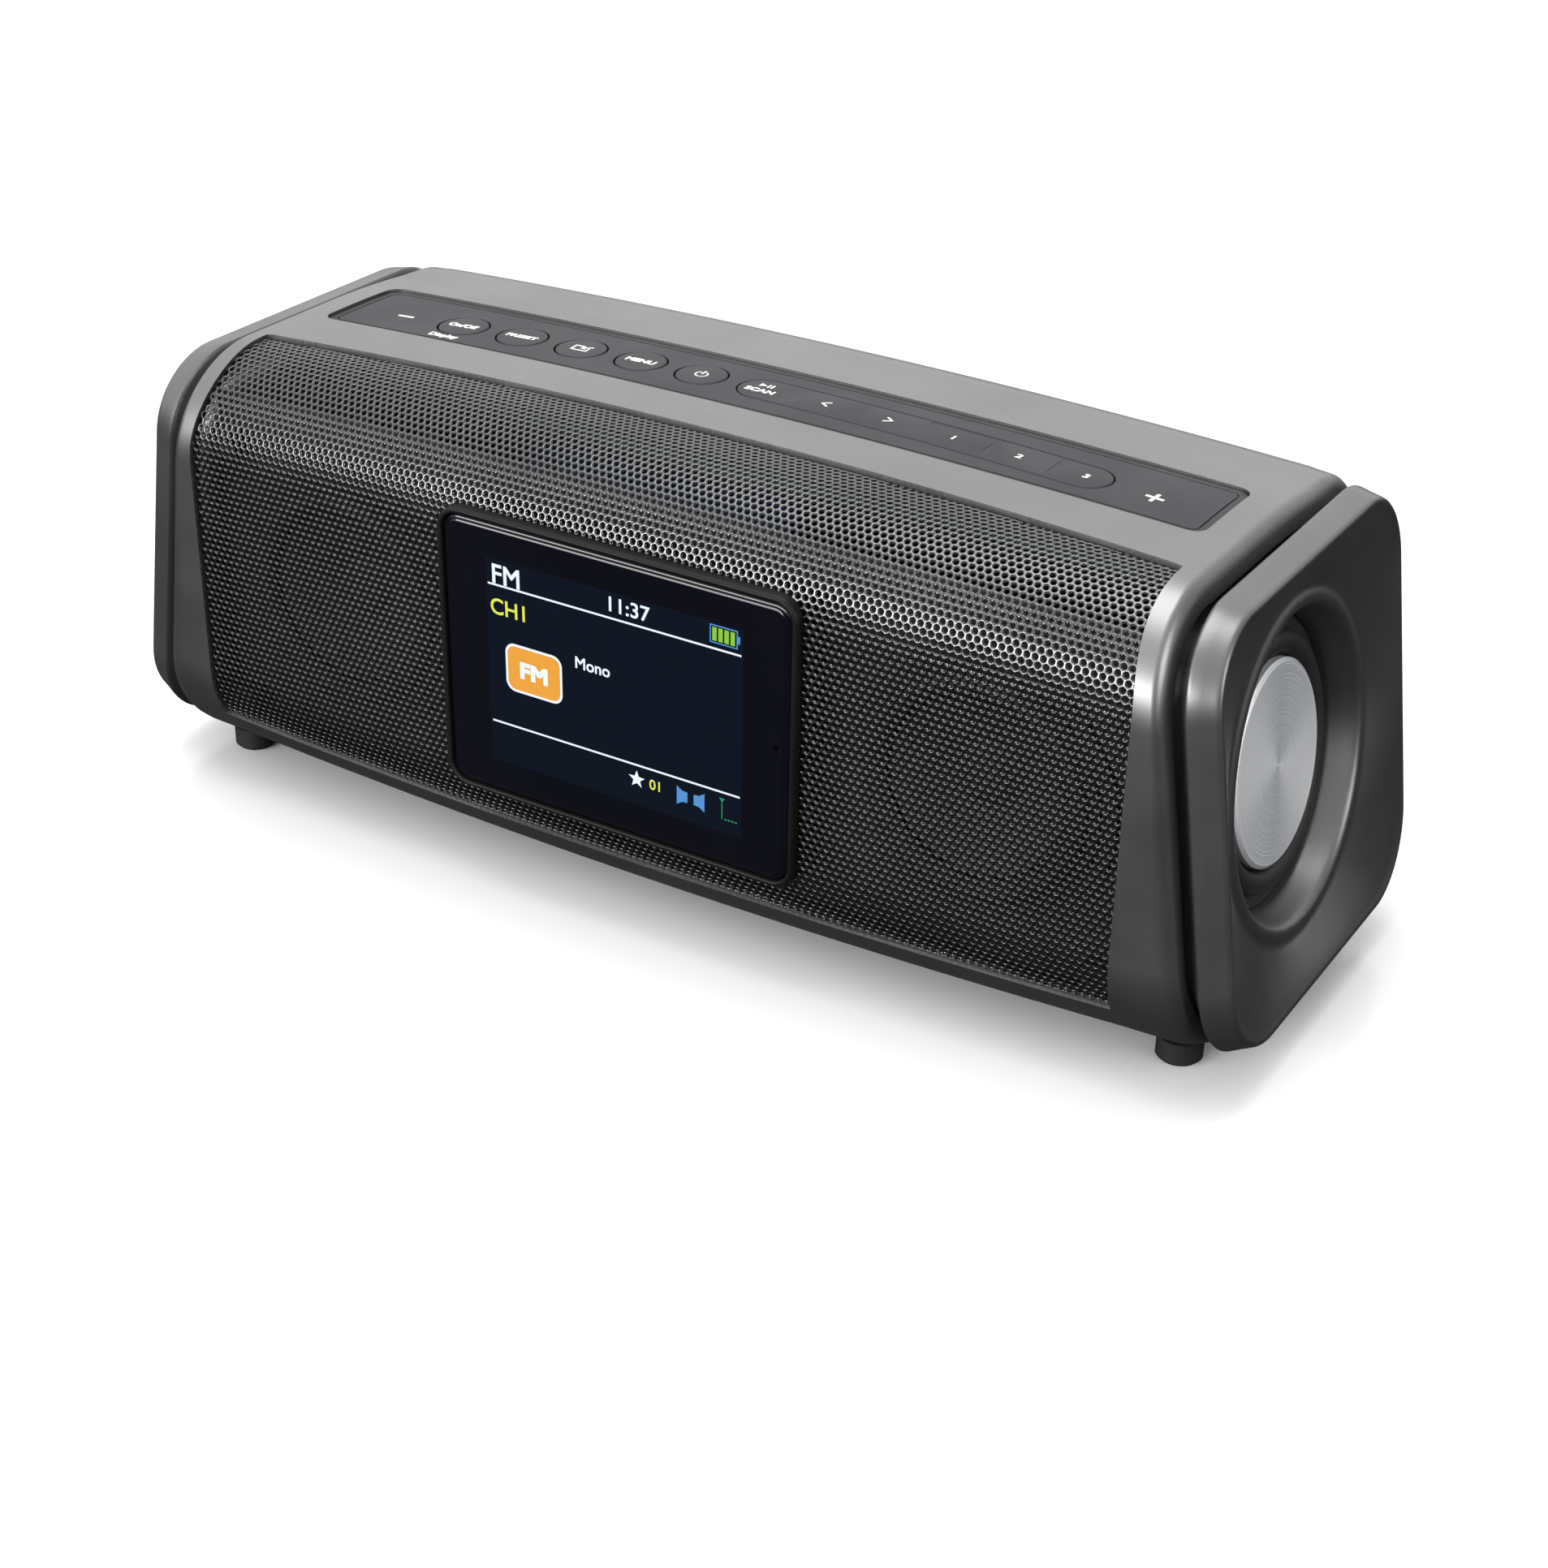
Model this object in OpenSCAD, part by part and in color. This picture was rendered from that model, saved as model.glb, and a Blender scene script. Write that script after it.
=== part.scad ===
// Portable tabletop radio: barrel-shaped plastic case, wrap-around perforated grille, colour display,
// silicone keypad, two full-range drivers, two end-mounted passive radiators, rear telescopic aerial.
// Millimetres. +X along the length, the front faces -Y, +Z up. Origin on the table under the middle.

/* [Case] */
// Half length of the case shell at mid height
band_half = 112.8; // [112.4:0.2:113.2]
// How far the slanted ends lean, sideways run per unit of height
end_slant = 0.15; // [0.14:0.005:0.16]
// Height of the top face at the middle
top_height = 97.6; // [97.2:0.2:98.2]
// How far the top face falls towards the ends
top_arch = 2.5; // [2:0.25:3]
// Front face of the case at the middle, as a distance from the centre plane
front_reach = 48.7; // [48.4:0.1:48.9]
// Rear face of the case at the middle, as a distance from the centre plane
rear_reach = 49.4; // [49.2:0.2:50]
// Case wall thickness
wall = 2.4; // [2.2:0.1:2.6]

/* [Grille] */
// Half width of the grille opening
grille_half = 104; // [103.6:0.2:104.4]
// Grille sheet thickness
grille_thick = 0.8; // [0.6:0.1:1]
// Depth of the grille face below the case face
grille_sink = 0.8; // [0.6:0.1:0.9]

/* [Display] */
// Width of the display rim
rim_w = 80.4; // [80:0.2:80.8]
// Height of the display rim
rim_h = 60; // [59.6:0.2:60.4]
// Height of the display centre above the table
display_z = 52.3; // [52:0.1:52.6]

/* [Keys] */
// Distance from one key to the next
key_pitch = 14.16; // [14.1:0.02:14.2]
// Diameter of a round key
key_d = 10.6; // [10.2:0.2:10.8]
// Key travel
key_travel = 0.8; // [0.5:0.1:0.9]

/* [Ends] */
// Depth of the end cap, front to rear
cap_depth = 85.8; // [85.4:0.2:86]
// Height of the end cap along its slope
cap_tall = 83.6; // [83:0.2:84]
// Radius of the lip round the passive radiator
lip_r = 31.4; // [31:0.2:31.8]
// Diameter of the aluminium radiator disc
disc_d = 39.6; // [39:0.2:40]

/* [Feet] */
// Distance from the centre to a foot along the length
foot_x = 111.5; // [110.5:0.5:112]
// Distance from the centre to a foot along the depth
foot_y = 27.2; // [26.5:0.1:28]
// Foot diameter
foot_d = 9; // [8.6:0.2:9.4]

/* [Hidden] */
bow_ref = 115;
bottom_mid = 2.8;
bottom_arch = 2.2;
front_bow = 2;
rear_bow = 2;
r_front_top = 21;
r_front_low = 24;
r_rear_top = 18;
rear_fall = 1.5;
rear_fall_y = 27;
r_rear_low = 18;

// edges of the openings in the case
slot_mid = 21.2;
slot_bow = 3.9;
pad_front_mid = 9.1;
pad_front_bow = 1.9;
pad_rear_mid = 15.1;
pad_rear_bow = 2;
pad_half = 98.7;
port_x0 = 30;
port_x1 = 80;
port_z0 = 27;
port_z1 = 41;

edge_draw = 2.6;
edge_draw_z = 76;

// aerial trough in the rear face, closed at the right and open at the left
trough_z = 73;
trough_h = 10;
trough_d = 8.4;
trough_end = 88.8;
trough_blend = 2;

// arcs of the section, as angles from the front or rear face towards top or bottom
front_top_arc = [0, 9, 18.5, 30, 45, 60, 75, 90];
front_low_arc = [0, 13, 30, 45, 60, 75, 90];
rear_arc = [0, 15, 30, 45, 60, 75, 90];
band_steps = [[0, 0], [0.55, 0], [0.8, 0.35], [0.93, 1.2], [1, 2.6]];
inner_x = [-98.7, -88.8, -86.8, -70, -50, -30, -10, 10, 30, 50, 65, 80, 86.8, 88.8, 98.7];

// display stack
rim_front = -49.4;
rim_r = 5;
window_wall = 1.2;
window_thick = 1.6;
lcd_w = 69.2;
lcd_h = 50;

// keypad
key_row_mid = 3.3;
key_row_bow = 3.3;
key_row_ref = 85;
key_gap = 0.3;
round_keys = [0, 1, 2, 3, 4, 5, 12];
pill_first = 6;
pill_last = 11;
pad_sink = 0.6;
pad_thick = 2.2;
board_z = 88.6;
board_t = 1.6;
key_proud = 0.35;

// ends
slope = atan(end_slant);
cap_mid = [122, 1.4, 50.4];
cap_r = [15, 15, 17, 16];
cap_gap = 3.4;
cap_side = 5.6;
cap_taper = 2;
disc_sink = 8.4;
lip_sink = 4.5;
bore_r = 28;

// drivers
driver_x = 72;
driver_z = 50;
baffle_y = -38;

// aerial
rod_y = 45;
pivot_x = 83;
shaft_r = 2.2;

$fn = 64;

shell = [0.27, 0.28, 0.29];
dark = [0.12, 0.12, 0.13];
rubber = [0.08, 0.08, 0.08];
steel = [0.75, 0.76, 0.78];
alu = [0.82, 0.83, 0.85];
board_green = [0.1, 0.3, 0.18];

// ---- case section -------------------------------------------------------------------------------
function bow(x) = pow(x / bow_ref, 2);
function y_front(x, d) = -front_reach + front_bow * bow(x) + d;
function y_rear(x, d) = rear_reach - rear_bow * bow(x) - d;
function z_top(x, d) = top_height - top_arch * bow(x) - d;
function z_low(x, d) = bottom_mid + bottom_arch * bow(x) + d;
function y_slot(x) = -slot_mid - slot_bow * bow(x);
function y_pad_front(x) = -pad_front_mid - pad_front_bow * bow(x);
function y_pad_rear(x) = pad_rear_mid - pad_rear_bow * bow(x);
function fall(y) = rear_fall * pow(y / rear_fall_y, 2);
function smooth(t) = let (k = max(0, min(1, t))) k * k * (3 - 2 * k);
function trough(x) = trough_d * smooth((trough_end - x) / trough_blend);
function arc_point(yc, zc, r, sy, sz, a) = [yc + sy * r * cos(a), zc + sz * r * sin(a)];

// one side of the section, from the seam on top to the seam underneath; d is the depth below the face
function front_section(x, d) =
    let (rt = r_front_top - d, rl = r_front_low - d, yf = y_front(x, d), zt = z_top(x, d), zb = z_low(x, d))
    concat(
        [[0, zt], [y_pad_front(x), zt], [y_slot(x), zt]],
        [for (a = [len(front_top_arc) - 1 : -1 : 0])
            arc_point(yf + rt, zt - rt, rt, -1, 1, front_top_arc[a])],
        [for (a = front_low_arc) arc_point(yf + rl, zb + rl, rl, -1, -1, a)],
        [[0, zb]]);

// w is how far this face lies behind the trough's own face
function rear_section(x, d, w) =
    let (rt = r_rear_top - d, rl = r_rear_low - d, yr = y_rear(x, d), zt = z_top(x, d), zb = z_low(x, d),
         zr = zt - rear_fall,
         tr = trough(x), th = trough_h / 2 + w)
    concat(
        [[0, zb], [10, zb]],
        [for (a = [len(rear_arc) - 1 : -1 : 0]) arc_point(yr - rl, zb + rl, rl, 1, -1, rear_arc[a])],
        [[yr, port_z0], [yr, port_z1], [yr, trough_z - th - 2], [yr - 0.05, trough_z - th]],
        [[yr - tr, trough_z - th + 1], [yr - tr, trough_z + th - 1], [yr - 0.02, trough_z + th]],
        [for (a = [1 : len(rear_arc) - 1]) arc_point(yr - rt, zr - rt, rt, 1, 1, rear_arc[a])],
        [[y_pad_rear(x), zt - fall(y_pad_rear(x))], [0, zt]]);

// ---- columns of the case, left to right ---------------------------------------------------------
function band_x(z) = band_half - end_slant * (z - display_z);
// the sides of the grille opening draw in a little over the top bend
function edge_x(z) = grille_half - edge_draw * smooth((z - edge_draw_z) / 20);
function band_nominal(f) = grille_half + f * (band_half - grille_half);
// a column is [nominal x, share of the end band, depth of the edge rounding]
cols = concat(
    [for (k = [len(band_steps) - 1 : -1 : 0])
        [-band_nominal(band_steps[k][0]), band_steps[k][0], band_steps[k][1]]],
    [for (x = inner_x) [x, 0, 0]],
    [for (k = band_steps) [band_nominal(k[0]), k[0], k[1]]]);
first_inner = len(band_steps) - 1;
last_inner = len(cols) - len(band_steps);

function place(col, p) =
    let (e = edge_x(p[1]),
         end_x = sign(col[0]) * (e + col[1] * (band_x(p[1]) - e)),
         x = abs(col[0]) < grille_half ? col[0] : end_x)
    [x, p[0], p[1]];
function quad(a, b, c, d) = [[a, b, c], [a, c, d]];

// A shell between two grids of points; keep(i, j) says which cells are solid
module grid_shell(outer, inner, keep) {
    ni = len(outer);
    nj = len(outer[0]);
    n = ni * nj;
    on = function(i, j) i >= 0 && i < ni - 1 && j >= 0 && j < nj - 1 && keep(i, j);
    faces = [for (i = [0 : ni - 2]) for (j = [0 : nj - 2]) if (on(i, j))
        let (a = i * nj + j, b = a + nj, c = b + 1, d = a + 1)
        each concat(
            quad(a, b, c, d),
            quad(n + a, n + d, n + c, n + b),
            on(i - 1, j) ? [] : quad(a, d, n + d, n + a),
            on(i + 1, j) ? [] : quad(b, n + b, n + c, c),
            on(i, j - 1) ? [] : quad(a, n + a, n + b, b),
            on(i, j + 1) ? [] : quad(d, c, n + c, n + d))];
    points = concat([for (row = outer) each row], [for (row = inner) each row]);
    polyhedron(points, faces, convexity = 8);
}

function case_grid(section, w) = [for (c = cols) [for (p = section(c[0], c[2] + w, w)) place(c, p)]];

front_rows_slot = 2;
front_rows_low = 13;

module front_shell() {
    in_grille = function(i, j)
        i >= first_inner && i <= last_inner - 1 && j >= front_rows_slot && j < front_rows_low;
    in_pad = function(i, j) i > first_inner && i < last_inner - 1 && j < 1;
    grid_shell(case_grid(function(x, d, w) front_section(x, d), 0),
               case_grid(function(x, d, w) front_section(x, d), wall),
               function(i, j) !in_grille(i, j) && !in_pad(i, j));
}

// ---- posts inside the case ----------------------------------------------------------------------
post_x = 93;
post_z = [27, 60];
post_r = 3.2;
well_r = 3.1;
seat_y = 14;
screw_r = 1.1;
boss_x = 74;
pad_post_x = [45, 84];
pad_post_y = -12.6;

// a bar along +Y at height z
module y_bar(x, y, z, r, length) {
    translate([x, y, z]) rotate([-90, 0, 0]) cylinder(r = r, h = length, $fn = 48);
}

module foot_boss(sx, sy) {
    translate([sx * foot_x, sy * foot_y, foot_top]) cylinder(r = foot_d / 2 + 0.7, h = 4);
}
foot_top = 4.9;
foot_play = 0.1;

module foot_seats() {
    for (sx = [-1, 1], sy = [-1, 1])
        translate([sx * foot_x, sy * foot_y, -1]) cylinder(r = foot_d / 2 + foot_play, h = foot_top + 1);
}

module front_posts() {
    for (s = [-1, 1]) {
        for (z = post_z) y_bar(s * post_x, -14, z, post_r, 13.8);
        translate([s * post_x - 1, -13.6, 5.6]) cube([2, 12.8, post_z[0] - 5.6]);
        translate([s * post_x - 1, -13.6, post_z[1]]) cube([2, 2.4, 94 - post_z[1]]);
        translate([s * boss_x, -22, 5]) cylinder(r = 3, h = 8.9);
        for (x = pad_post_x)
            translate([s * x, pad_post_y, board_z + 0.05])
                cylinder(r = 1.8, h = z_top(x, wall / 2) - board_z, $fn = 32);
        foot_boss(s, -1);
    }
}

module rear_posts() {
    for (s = [-1, 1]) {
        for (z = post_z) y_bar(s * post_x, 0.2, z, well_r + 1.3, 46);
        translate([s * boss_x, 18, 5]) cylinder(r = 3, h = 8.9);
        foot_boss(s, 1);
    }
}

module front_frame() {
    color(shell)
        difference() {
            union() {
                front_shell();
                front_posts();
            }
            for (s = [-1, 1], z = post_z) y_bar(s * post_x, -10, z, screw_r, 20);
            foot_seats();
        }
}

module rear_housing() {
    color(shell)
        difference() {
            union() {
                rear_shell();
                rear_posts();
                aerial_pocket_block();
            }
            for (s = [-1, 1], z = post_z) {
                y_bar(s * post_x, -1, z, screw_r + 0.5, 20);
                y_bar(s * post_x, seat_y + 2, z, well_r, 40);
            }
            aerial_pocket_cut();
            foot_seats();
        }
}

module rear_shell() {
    in_pad = function(i, j) i > first_inner && i < last_inner - 1 && j == rear_rows - 2;
    in_port = function(i, j) cols[i][0] >= port_x0 && cols[i + 1][0] <= port_x1 && j == rear_port_row;
    grid_shell(case_grid(function(x, d, w) rear_section(x, d, w), 0),
               case_grid(function(x, d, w) rear_section(x, d, w), wall),
               function(i, j) !in_pad(i, j) && !in_port(i, j));
}
rear_rows = len(rear_section(0, 0, 0));
rear_port_row = 2 + len(rear_arc);

// backs the notch and carries the swivel's bearing at the end of the trough
module aerial_pocket_block() {
    at_pivot() {
        translate([-14, -8, -6]) cube([21, 4.4, 22.6]);
        translate([-14, -4, -5]) cube([8, 6, 10]);
    }
}

module aerial_pocket_cut() {
    at_pivot() {
        translate([0, 0, -4]) cylinder(r = 4.6, h = 30, $fn = 48);
        translate([-5.4, -4.6, -4.6]) cube([11, 12, 9.2]);
        translate([-12, 0, 0]) rotate([0, 90, 0]) cylinder(r = shaft_r + 0.05, h = 10, $fn = 48);
    }
}

// ---- grille -------------------------------------------------------------------------------------
grille_gap = 0.3;
grille_x = [-100, -80, -60, -rim_w / 2 - 0.5, -20, 0, 20, rim_w / 2 + 0.5, 60, 80, 100];
grille_cols = concat([-grille_half + grille_gap], grille_x, [grille_half - grille_gap]);
grille_low_arc = [0, 13, 29.3];

function grille_section(x, d) =
    let (rt = r_front_top - d, rl = r_front_low - d, yf = y_front(x, d), zt = z_top(x, d), zb = z_low(x, d))
    concat(
        [[y_slot(x) - grille_gap, zt]],
        [for (a = [len(front_top_arc) - 1 : -1 : 0])
            arc_point(yf + rt, zt - rt, rt, -1, 1, front_top_arc[a])],
        [for (a = grille_low_arc) arc_point(yf + rl, zb + rl, rl, -1, -1, a)]);

function grille_place(x, z) = abs(x) > 101 ? sign(x) * (edge_x(z) - grille_gap) : x;
function grille_grid(d) =
    [for (x = grille_cols) [for (p = grille_section(x, d)) [grille_place(x, p[1]), p[0], p[1]]]];

module grille() {
    rows = len(grille_section(0, 0));
    window_top = len(front_top_arc) - 2;
    color(dark)
        grid_shell(grille_grid(grille_sink), grille_grid(grille_sink + grille_thick),
                   function(i, j) !(i >= 4 && i < 8 && j >= window_top && j < rows - 2));
}

// ---- display ------------------------------------------------------------------------------------
module rounded(w, h, r) {
    x = w / 2 - r;
    y = h / 2 - r;
    union() {
        square([w, 2 * y], center = true);
        square([2 * x, h], center = true);
        for (sx = [-1, 1], sy = [-1, 1]) translate([sx * x, sy * y]) circle(r, $fn = 32);
    }
}

// extrudes a front-view outline backwards from the plane y
module front_slab(y, t) {
    translate([0, y + t, display_z]) rotate([90, 0, 0]) linear_extrude(t) children();
}

module display_rim() {
    color(dark)
        front_slab(rim_front, 6)
            difference() {
                rounded(rim_w, rim_h, rim_r);
                rounded(rim_w - 2 * window_wall, rim_h - 2 * window_wall, rim_r - window_wall);
            }
}

module display_window() {
    color([0.03, 0.03, 0.04])
        front_slab(rim_front + 0.3, window_thick)
            rounded(rim_w - 2 * window_wall - 0.1, rim_h - 2 * window_wall - 0.1, rim_r - window_wall - 0.05);
}

module lcd_panel() {
    color([0.05, 0.07, 0.12])
        front_slab(rim_front + 2.2, 2.6) square([lcd_w, lcd_h], center = true);
}

module lcd_holder() {
    color(dark)
        difference() {
            union() {
                front_slab(rim_front + 2.2, 5)
                    rounded(rim_w - 2 * window_wall - 0.6, rim_h - 2 * window_wall - 0.6, 3);
                for (sx = [-1, 1], sz = [-1, 1])
                    translate([sx * 34 - 2.5, rim_front + 6, display_z + sz * 24 - 2.5])
                        cube([5, baffle_y - rim_front - 6.05, 5]);
            }
            front_slab(rim_front + 1, 3.9) square([lcd_w + 0.4, lcd_h + 0.4], center = true);
            front_slab(rim_front + 4, 5) square([lcd_w - 14, lcd_h - 14], center = true);
        }
}

// ---- keypad -------------------------------------------------------------------------------------
function key_x(i) = (i - 6) * key_pitch;
function key_y(x) = key_row_mid - key_row_bow * pow(x / key_row_ref, 2);
function pad_z(x, y) = z_top(x, pad_sink) - (y > 0 ? fall(y) : 0);
function pad_tilt(x) = atan(2 * top_arch * x / pow(bow_ref, 2));

module at_key(i) {
    x = key_x(i);
    translate([x, key_y(x), pad_z(x, key_y(x))]) rotate([0, pad_tilt(x), 0]) children();
}

pad_cols = [-pad_half + key_gap, -78, -58, -38, -19, 0, 19, 38, 58, 78, pad_half - key_gap];
function pad_row(x, d) =
    let (f = y_pad_front(x) + key_gap, r = y_pad_rear(x) - key_gap)
    [for (k = [0 : 4]) let (y = r + (f - r) * k / 4) [x, y, pad_z(x, y) - d]];

module pill_slot(grow, depth) {
    for (i = [pill_first : pill_last - 1]) {
        a = atan2(key_y(key_x(i + 1)) - key_y(key_x(i)), key_pitch);
        at_key(i) rotate([0, 0, a]) translate([0, -key_d / 2 - grow, -depth])
            cube([key_pitch + 0.1, key_d + 2 * grow, depth + 3]);
    }
    for (i = [pill_first, pill_last])
        at_key(i) translate([0, 0, -depth]) cylinder(d = key_d + 2 * grow, h = depth + 3);
}

module keypad_mat() {
    color(rubber)
        difference() {
            grid_shell([for (x = pad_cols) pad_row(x, 0)], [for (x = pad_cols) pad_row(x, pad_thick)],
                       function(i, j) true);
            for (i = round_keys) at_key(i) translate([0, 0, -6]) cylinder(d = key_d + 2 * key_gap, h = 9);
            pill_slot(key_gap, 6);
        }
}

stem_d = 4;
switch_h = 1.7;
stem_gap = 0.3;
// a stem ends one key travel and a small gap above its switch
function stem_drop(i) =
    pad_z(key_x(i), key_y(key_x(i))) - (board_z + switch_h + key_travel + stem_gap);
module stem(i) {
    translate([0, 0, -stem_drop(i)]) cylinder(d = stem_d, h = stem_drop(i) - pad_thick + 0.5);
}

module round_key(i) {
    color(rubber)
        at_key(i) {
            translate([0, 0, -pad_thick + 0.4]) cylinder(d = key_d, h = pad_thick - 0.4 + key_proud);
            stem(i);
        }
}

// one sixth of the long key; the first and the last have a round end
module pill_key(i) {
    gap = 0.15;
    a = atan2(key_y(key_x(i) + 1) - key_y(key_x(i) - 1), 2);
    top = pad_thick - 0.4 + key_proud;
    half = key_pitch / 2 - gap;
    color(rubber)
        at_key(i) rotate([0, 0, a]) {
            if (i == pill_first || i == pill_last)
                translate([0, 0, -pad_thick + 0.4]) cylinder(d = key_d - 0.4, h = top);
            translate([i == pill_first ? 0 : -half, -key_d / 2 + 0.2, -pad_thick + 0.4])
                cube([i == pill_first || i == pill_last ? half : 2 * half, key_d - 0.4, top]);
            stem(i);
        }
}

module key_minus() { round_key(0); }
module key_display() { round_key(1); }
module key_preset() { round_key(2); }
module key_source() { round_key(3); }
module key_menu() { round_key(4); }
module key_power() { round_key(5); }
module key_play() { pill_key(6); }
module key_previous() { pill_key(7); }
module key_next() { pill_key(8); }
module key_1() { pill_key(9); }
module key_2() { pill_key(10); }
module key_3() { pill_key(11); }
module key_plus() { round_key(12); }

module keypad_board() {
    color(board_green) translate([-91, -15, board_z - board_t]) cube([182, 26, board_t]);
}

module tact_switches() {
    color(steel)
        for (i = [0 : 12]) {
            x = key_x(i);
            translate([x, key_y(x), board_z]) {
                translate([-2.6, -2.6, 0]) cube([5.2, 5.2, 1.2]);
                cylinder(d = 2.6, h = switch_h, $fn = 32);
            }
        }
}

// ---- ends ---------------------------------------------------------------------------------------
// local z points out of the end face, local x to the rear, local y up the face
module at_end(side) {
    mirror([side < 0 ? 1 : 0, 0, 0])
        translate(cap_mid) rotate([0, -slope, 0]) rotate([90, 0, 90]) children();
}

loop_steps = 10;
// rounded rectangle shrunk by d on every side, as a loop of points at height z
function cap_loop(d, z) =
    [for (k = [0 : 3], i = [0 : loop_steps])
        let (r = max(cap_r[k] - d, 1), a = 90 * (k + i / loop_steps),
             sx = (k == 0 || k == 3) ? 1 : -1, sy = k < 2 ? 1 : -1)
        [sx * (cap_depth / 2 - d - r) + r * cos(a), sy * (cap_tall / 2 - d - r) + r * sin(a), z]];
function round_loop(r, z) =
    [for (k = [0 : 3], i = [0 : loop_steps])
        let (a = 90 * k + 4 + 82 * i / loop_steps) [r * cos(a), r * sin(a), z]];

// closed skin through a ring of loops, the last one joined to the first
module ring_skin(loops) {
    n = len(loops[0]);
    m = len(loops);
    faces = [for (k = [0 : m - 1], i = [0 : n - 1])
        let (a = k * n + i, b = k * n + (i + 1) % n,
             c = ((k + 1) % m) * n + (i + 1) % n, d = ((k + 1) % m) * n + i)
        each quad(a, d, c, b)];
    polyhedron([for (l = loops) each l], faces, convexity = 6);
}

flange_in = 3.2;
flange_t = 2;
flange_back = -14;
tube_back = -17;
module end_cap(side) {
    color(shell)
        at_end(side)
            ring_skin([
                cap_loop(-cap_taper, -cap_side),
                cap_loop(-0.4, -0.8),
                cap_loop(0.4, 0),
                cap_loop(1.6, -0.7),
                cap_loop(4.5, -2.4),
                round_loop(lip_r + 2, -lip_sink + 0.8),
                round_loop(lip_r, -lip_sink),
                round_loop(lip_r - 1.6, -lip_sink - 1),
                round_loop(bore_r, -lip_sink - 4.5),
                round_loop(bore_r, tube_back),
                round_loop(bore_r + flange_t, tube_back),
                round_loop(bore_r + flange_t, -lip_sink - 4),
                cap_loop(flange_in + flange_t, -cap_side - 0.6),
                cap_loop(flange_in + flange_t, flange_back),
                cap_loop(flange_in, flange_back),
                cap_loop(flange_in, -cap_side - cap_gap - 0.2),
                cap_loop(0.6, -cap_side - 1.6)]);
}
// lets the aerial slide out of the open end of the trough
module aerial_notch() {
    translate([-130, 41.3, trough_z - 3.7]) cube([30, 10, 7.4]);
    translate([-112.5, 37.2, trough_z - 7.8]) cube([12.5, 10, 15.6]);
}

module end_cap_left() {
    color(shell)
        difference() {
            end_cap(-1);
            aerial_notch();
        }
}
module end_cap_right() { end_cap(1); }

// ring with the section given as [radius, height] points about local z
module turned(points) { rotate_extrude($fn = 96) polygon(points); }

module radiator_frame(side) {
    color(dark)
        at_end(side)
            turned([[25.4, -12.4], [bore_r - 0.2, -12.4], [bore_r - 0.2, -16.4], [26, -16.4],
                    [26, -21], [24.6, -21], [24.6, -14.6], [25.4, -14.6]]);
}
module radiator_frame_left() { radiator_frame(-1); }
module radiator_frame_right() { radiator_frame(1); }

surround_in = disc_d / 2 + 0.5;
module radiator_surround(side) {
    color(rubber)
        at_end(side)
            rotate_extrude($fn = 96)
                union() {
                    difference() {
                        translate([surround_in + 2.4, -11.2]) circle(2.6, $fn = 32);
                        translate([surround_in + 2.4, -11.2]) circle(1.8, $fn = 32);
                        translate([surround_in - 3, -16]) square([12, 4.8]);
                    }
                    translate([surround_in + 4.2, -12.2]) square([bore_r - 0.3 - surround_in - 4.2, 1.1]);
                }
}
module radiator_surround_left() { radiator_surround(-1); }
module radiator_surround_right() { radiator_surround(1); }

module radiator_disc(side) {
    color(alu)
        at_end(side)
            turned([[0, -disc_sink], [disc_d / 2 - 0.6, -disc_sink], [disc_d / 2, -disc_sink - 0.6],
                    [disc_d / 2, -disc_sink - 2], [17, -disc_sink - 2],
                    [17, -disc_sink - 5], [0, -disc_sink - 5]]);
}
module radiator_disc_left() { radiator_disc(-1); }
module radiator_disc_right() { radiator_disc(1); }

// ---- drivers ------------------------------------------------------------------------------------
// local z points forwards
module at_driver(side) { translate([side * driver_x, 0, driver_z]) rotate([90, 0, 0]) children(); }

module speaker_baffle() {
    color(dark)
        difference() {
            union() {
                translate([-104, baffle_y, 13]) cube([208, 3, 74]);
                for (sx = [-1, 1], z = [20, 78])
                    translate([sx * 100 - 3, baffle_y - 4, z - 3]) cube([6, 5, 6]);
            }
            for (s = [-1, 1])
                translate([s * driver_x, baffle_y - 1, driver_z]) rotate([-90, 0, 0])
                    cylinder(r = 24.4, h = 5);
        }
}

module driver_basket(side) {
    f = -baffle_y;
    color(steel)
        at_driver(side)
            turned([[22.6, f + 0.05], [28, f + 0.05], [28, f + 1.2], [23.9, f + 1.2], [22.6, f + 1.2],
                    [12, f - 12], [7, f - 12], [7, f - 13.2], [12.8, f - 13.2], [23.6, f - 0.4]]);
}
module driver_basket_left() { driver_basket(-1); }
module driver_basket_right() { driver_basket(1); }

module driver_magnet(side) {
    f = -baffle_y;
    color([0.2, 0.2, 0.21])
        at_driver(side)
            turned([[7.4, f - 13.3], [17, f - 13.3], [17, f - 25], [0, f - 25], [0, f - 22], [7.4, f - 22]]);
}
module driver_magnet_left() { driver_magnet(-1); }
module driver_magnet_right() { driver_magnet(1); }

module driver_cone(side) {
    f = -baffle_y;
    color([0.1, 0.1, 0.1])
        at_driver(side)
            turned([[0, f - 3.6], [4, f - 4.2], [6.4, f - 6], [17.6, f + 0.4], [17.6, f + 1], [6.6, f - 5],
                    [4, f - 3.2], [0, f - 2.6]]);
}
module driver_cone_left() { driver_cone(-1); }
module driver_cone_right() { driver_cone(1); }

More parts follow.
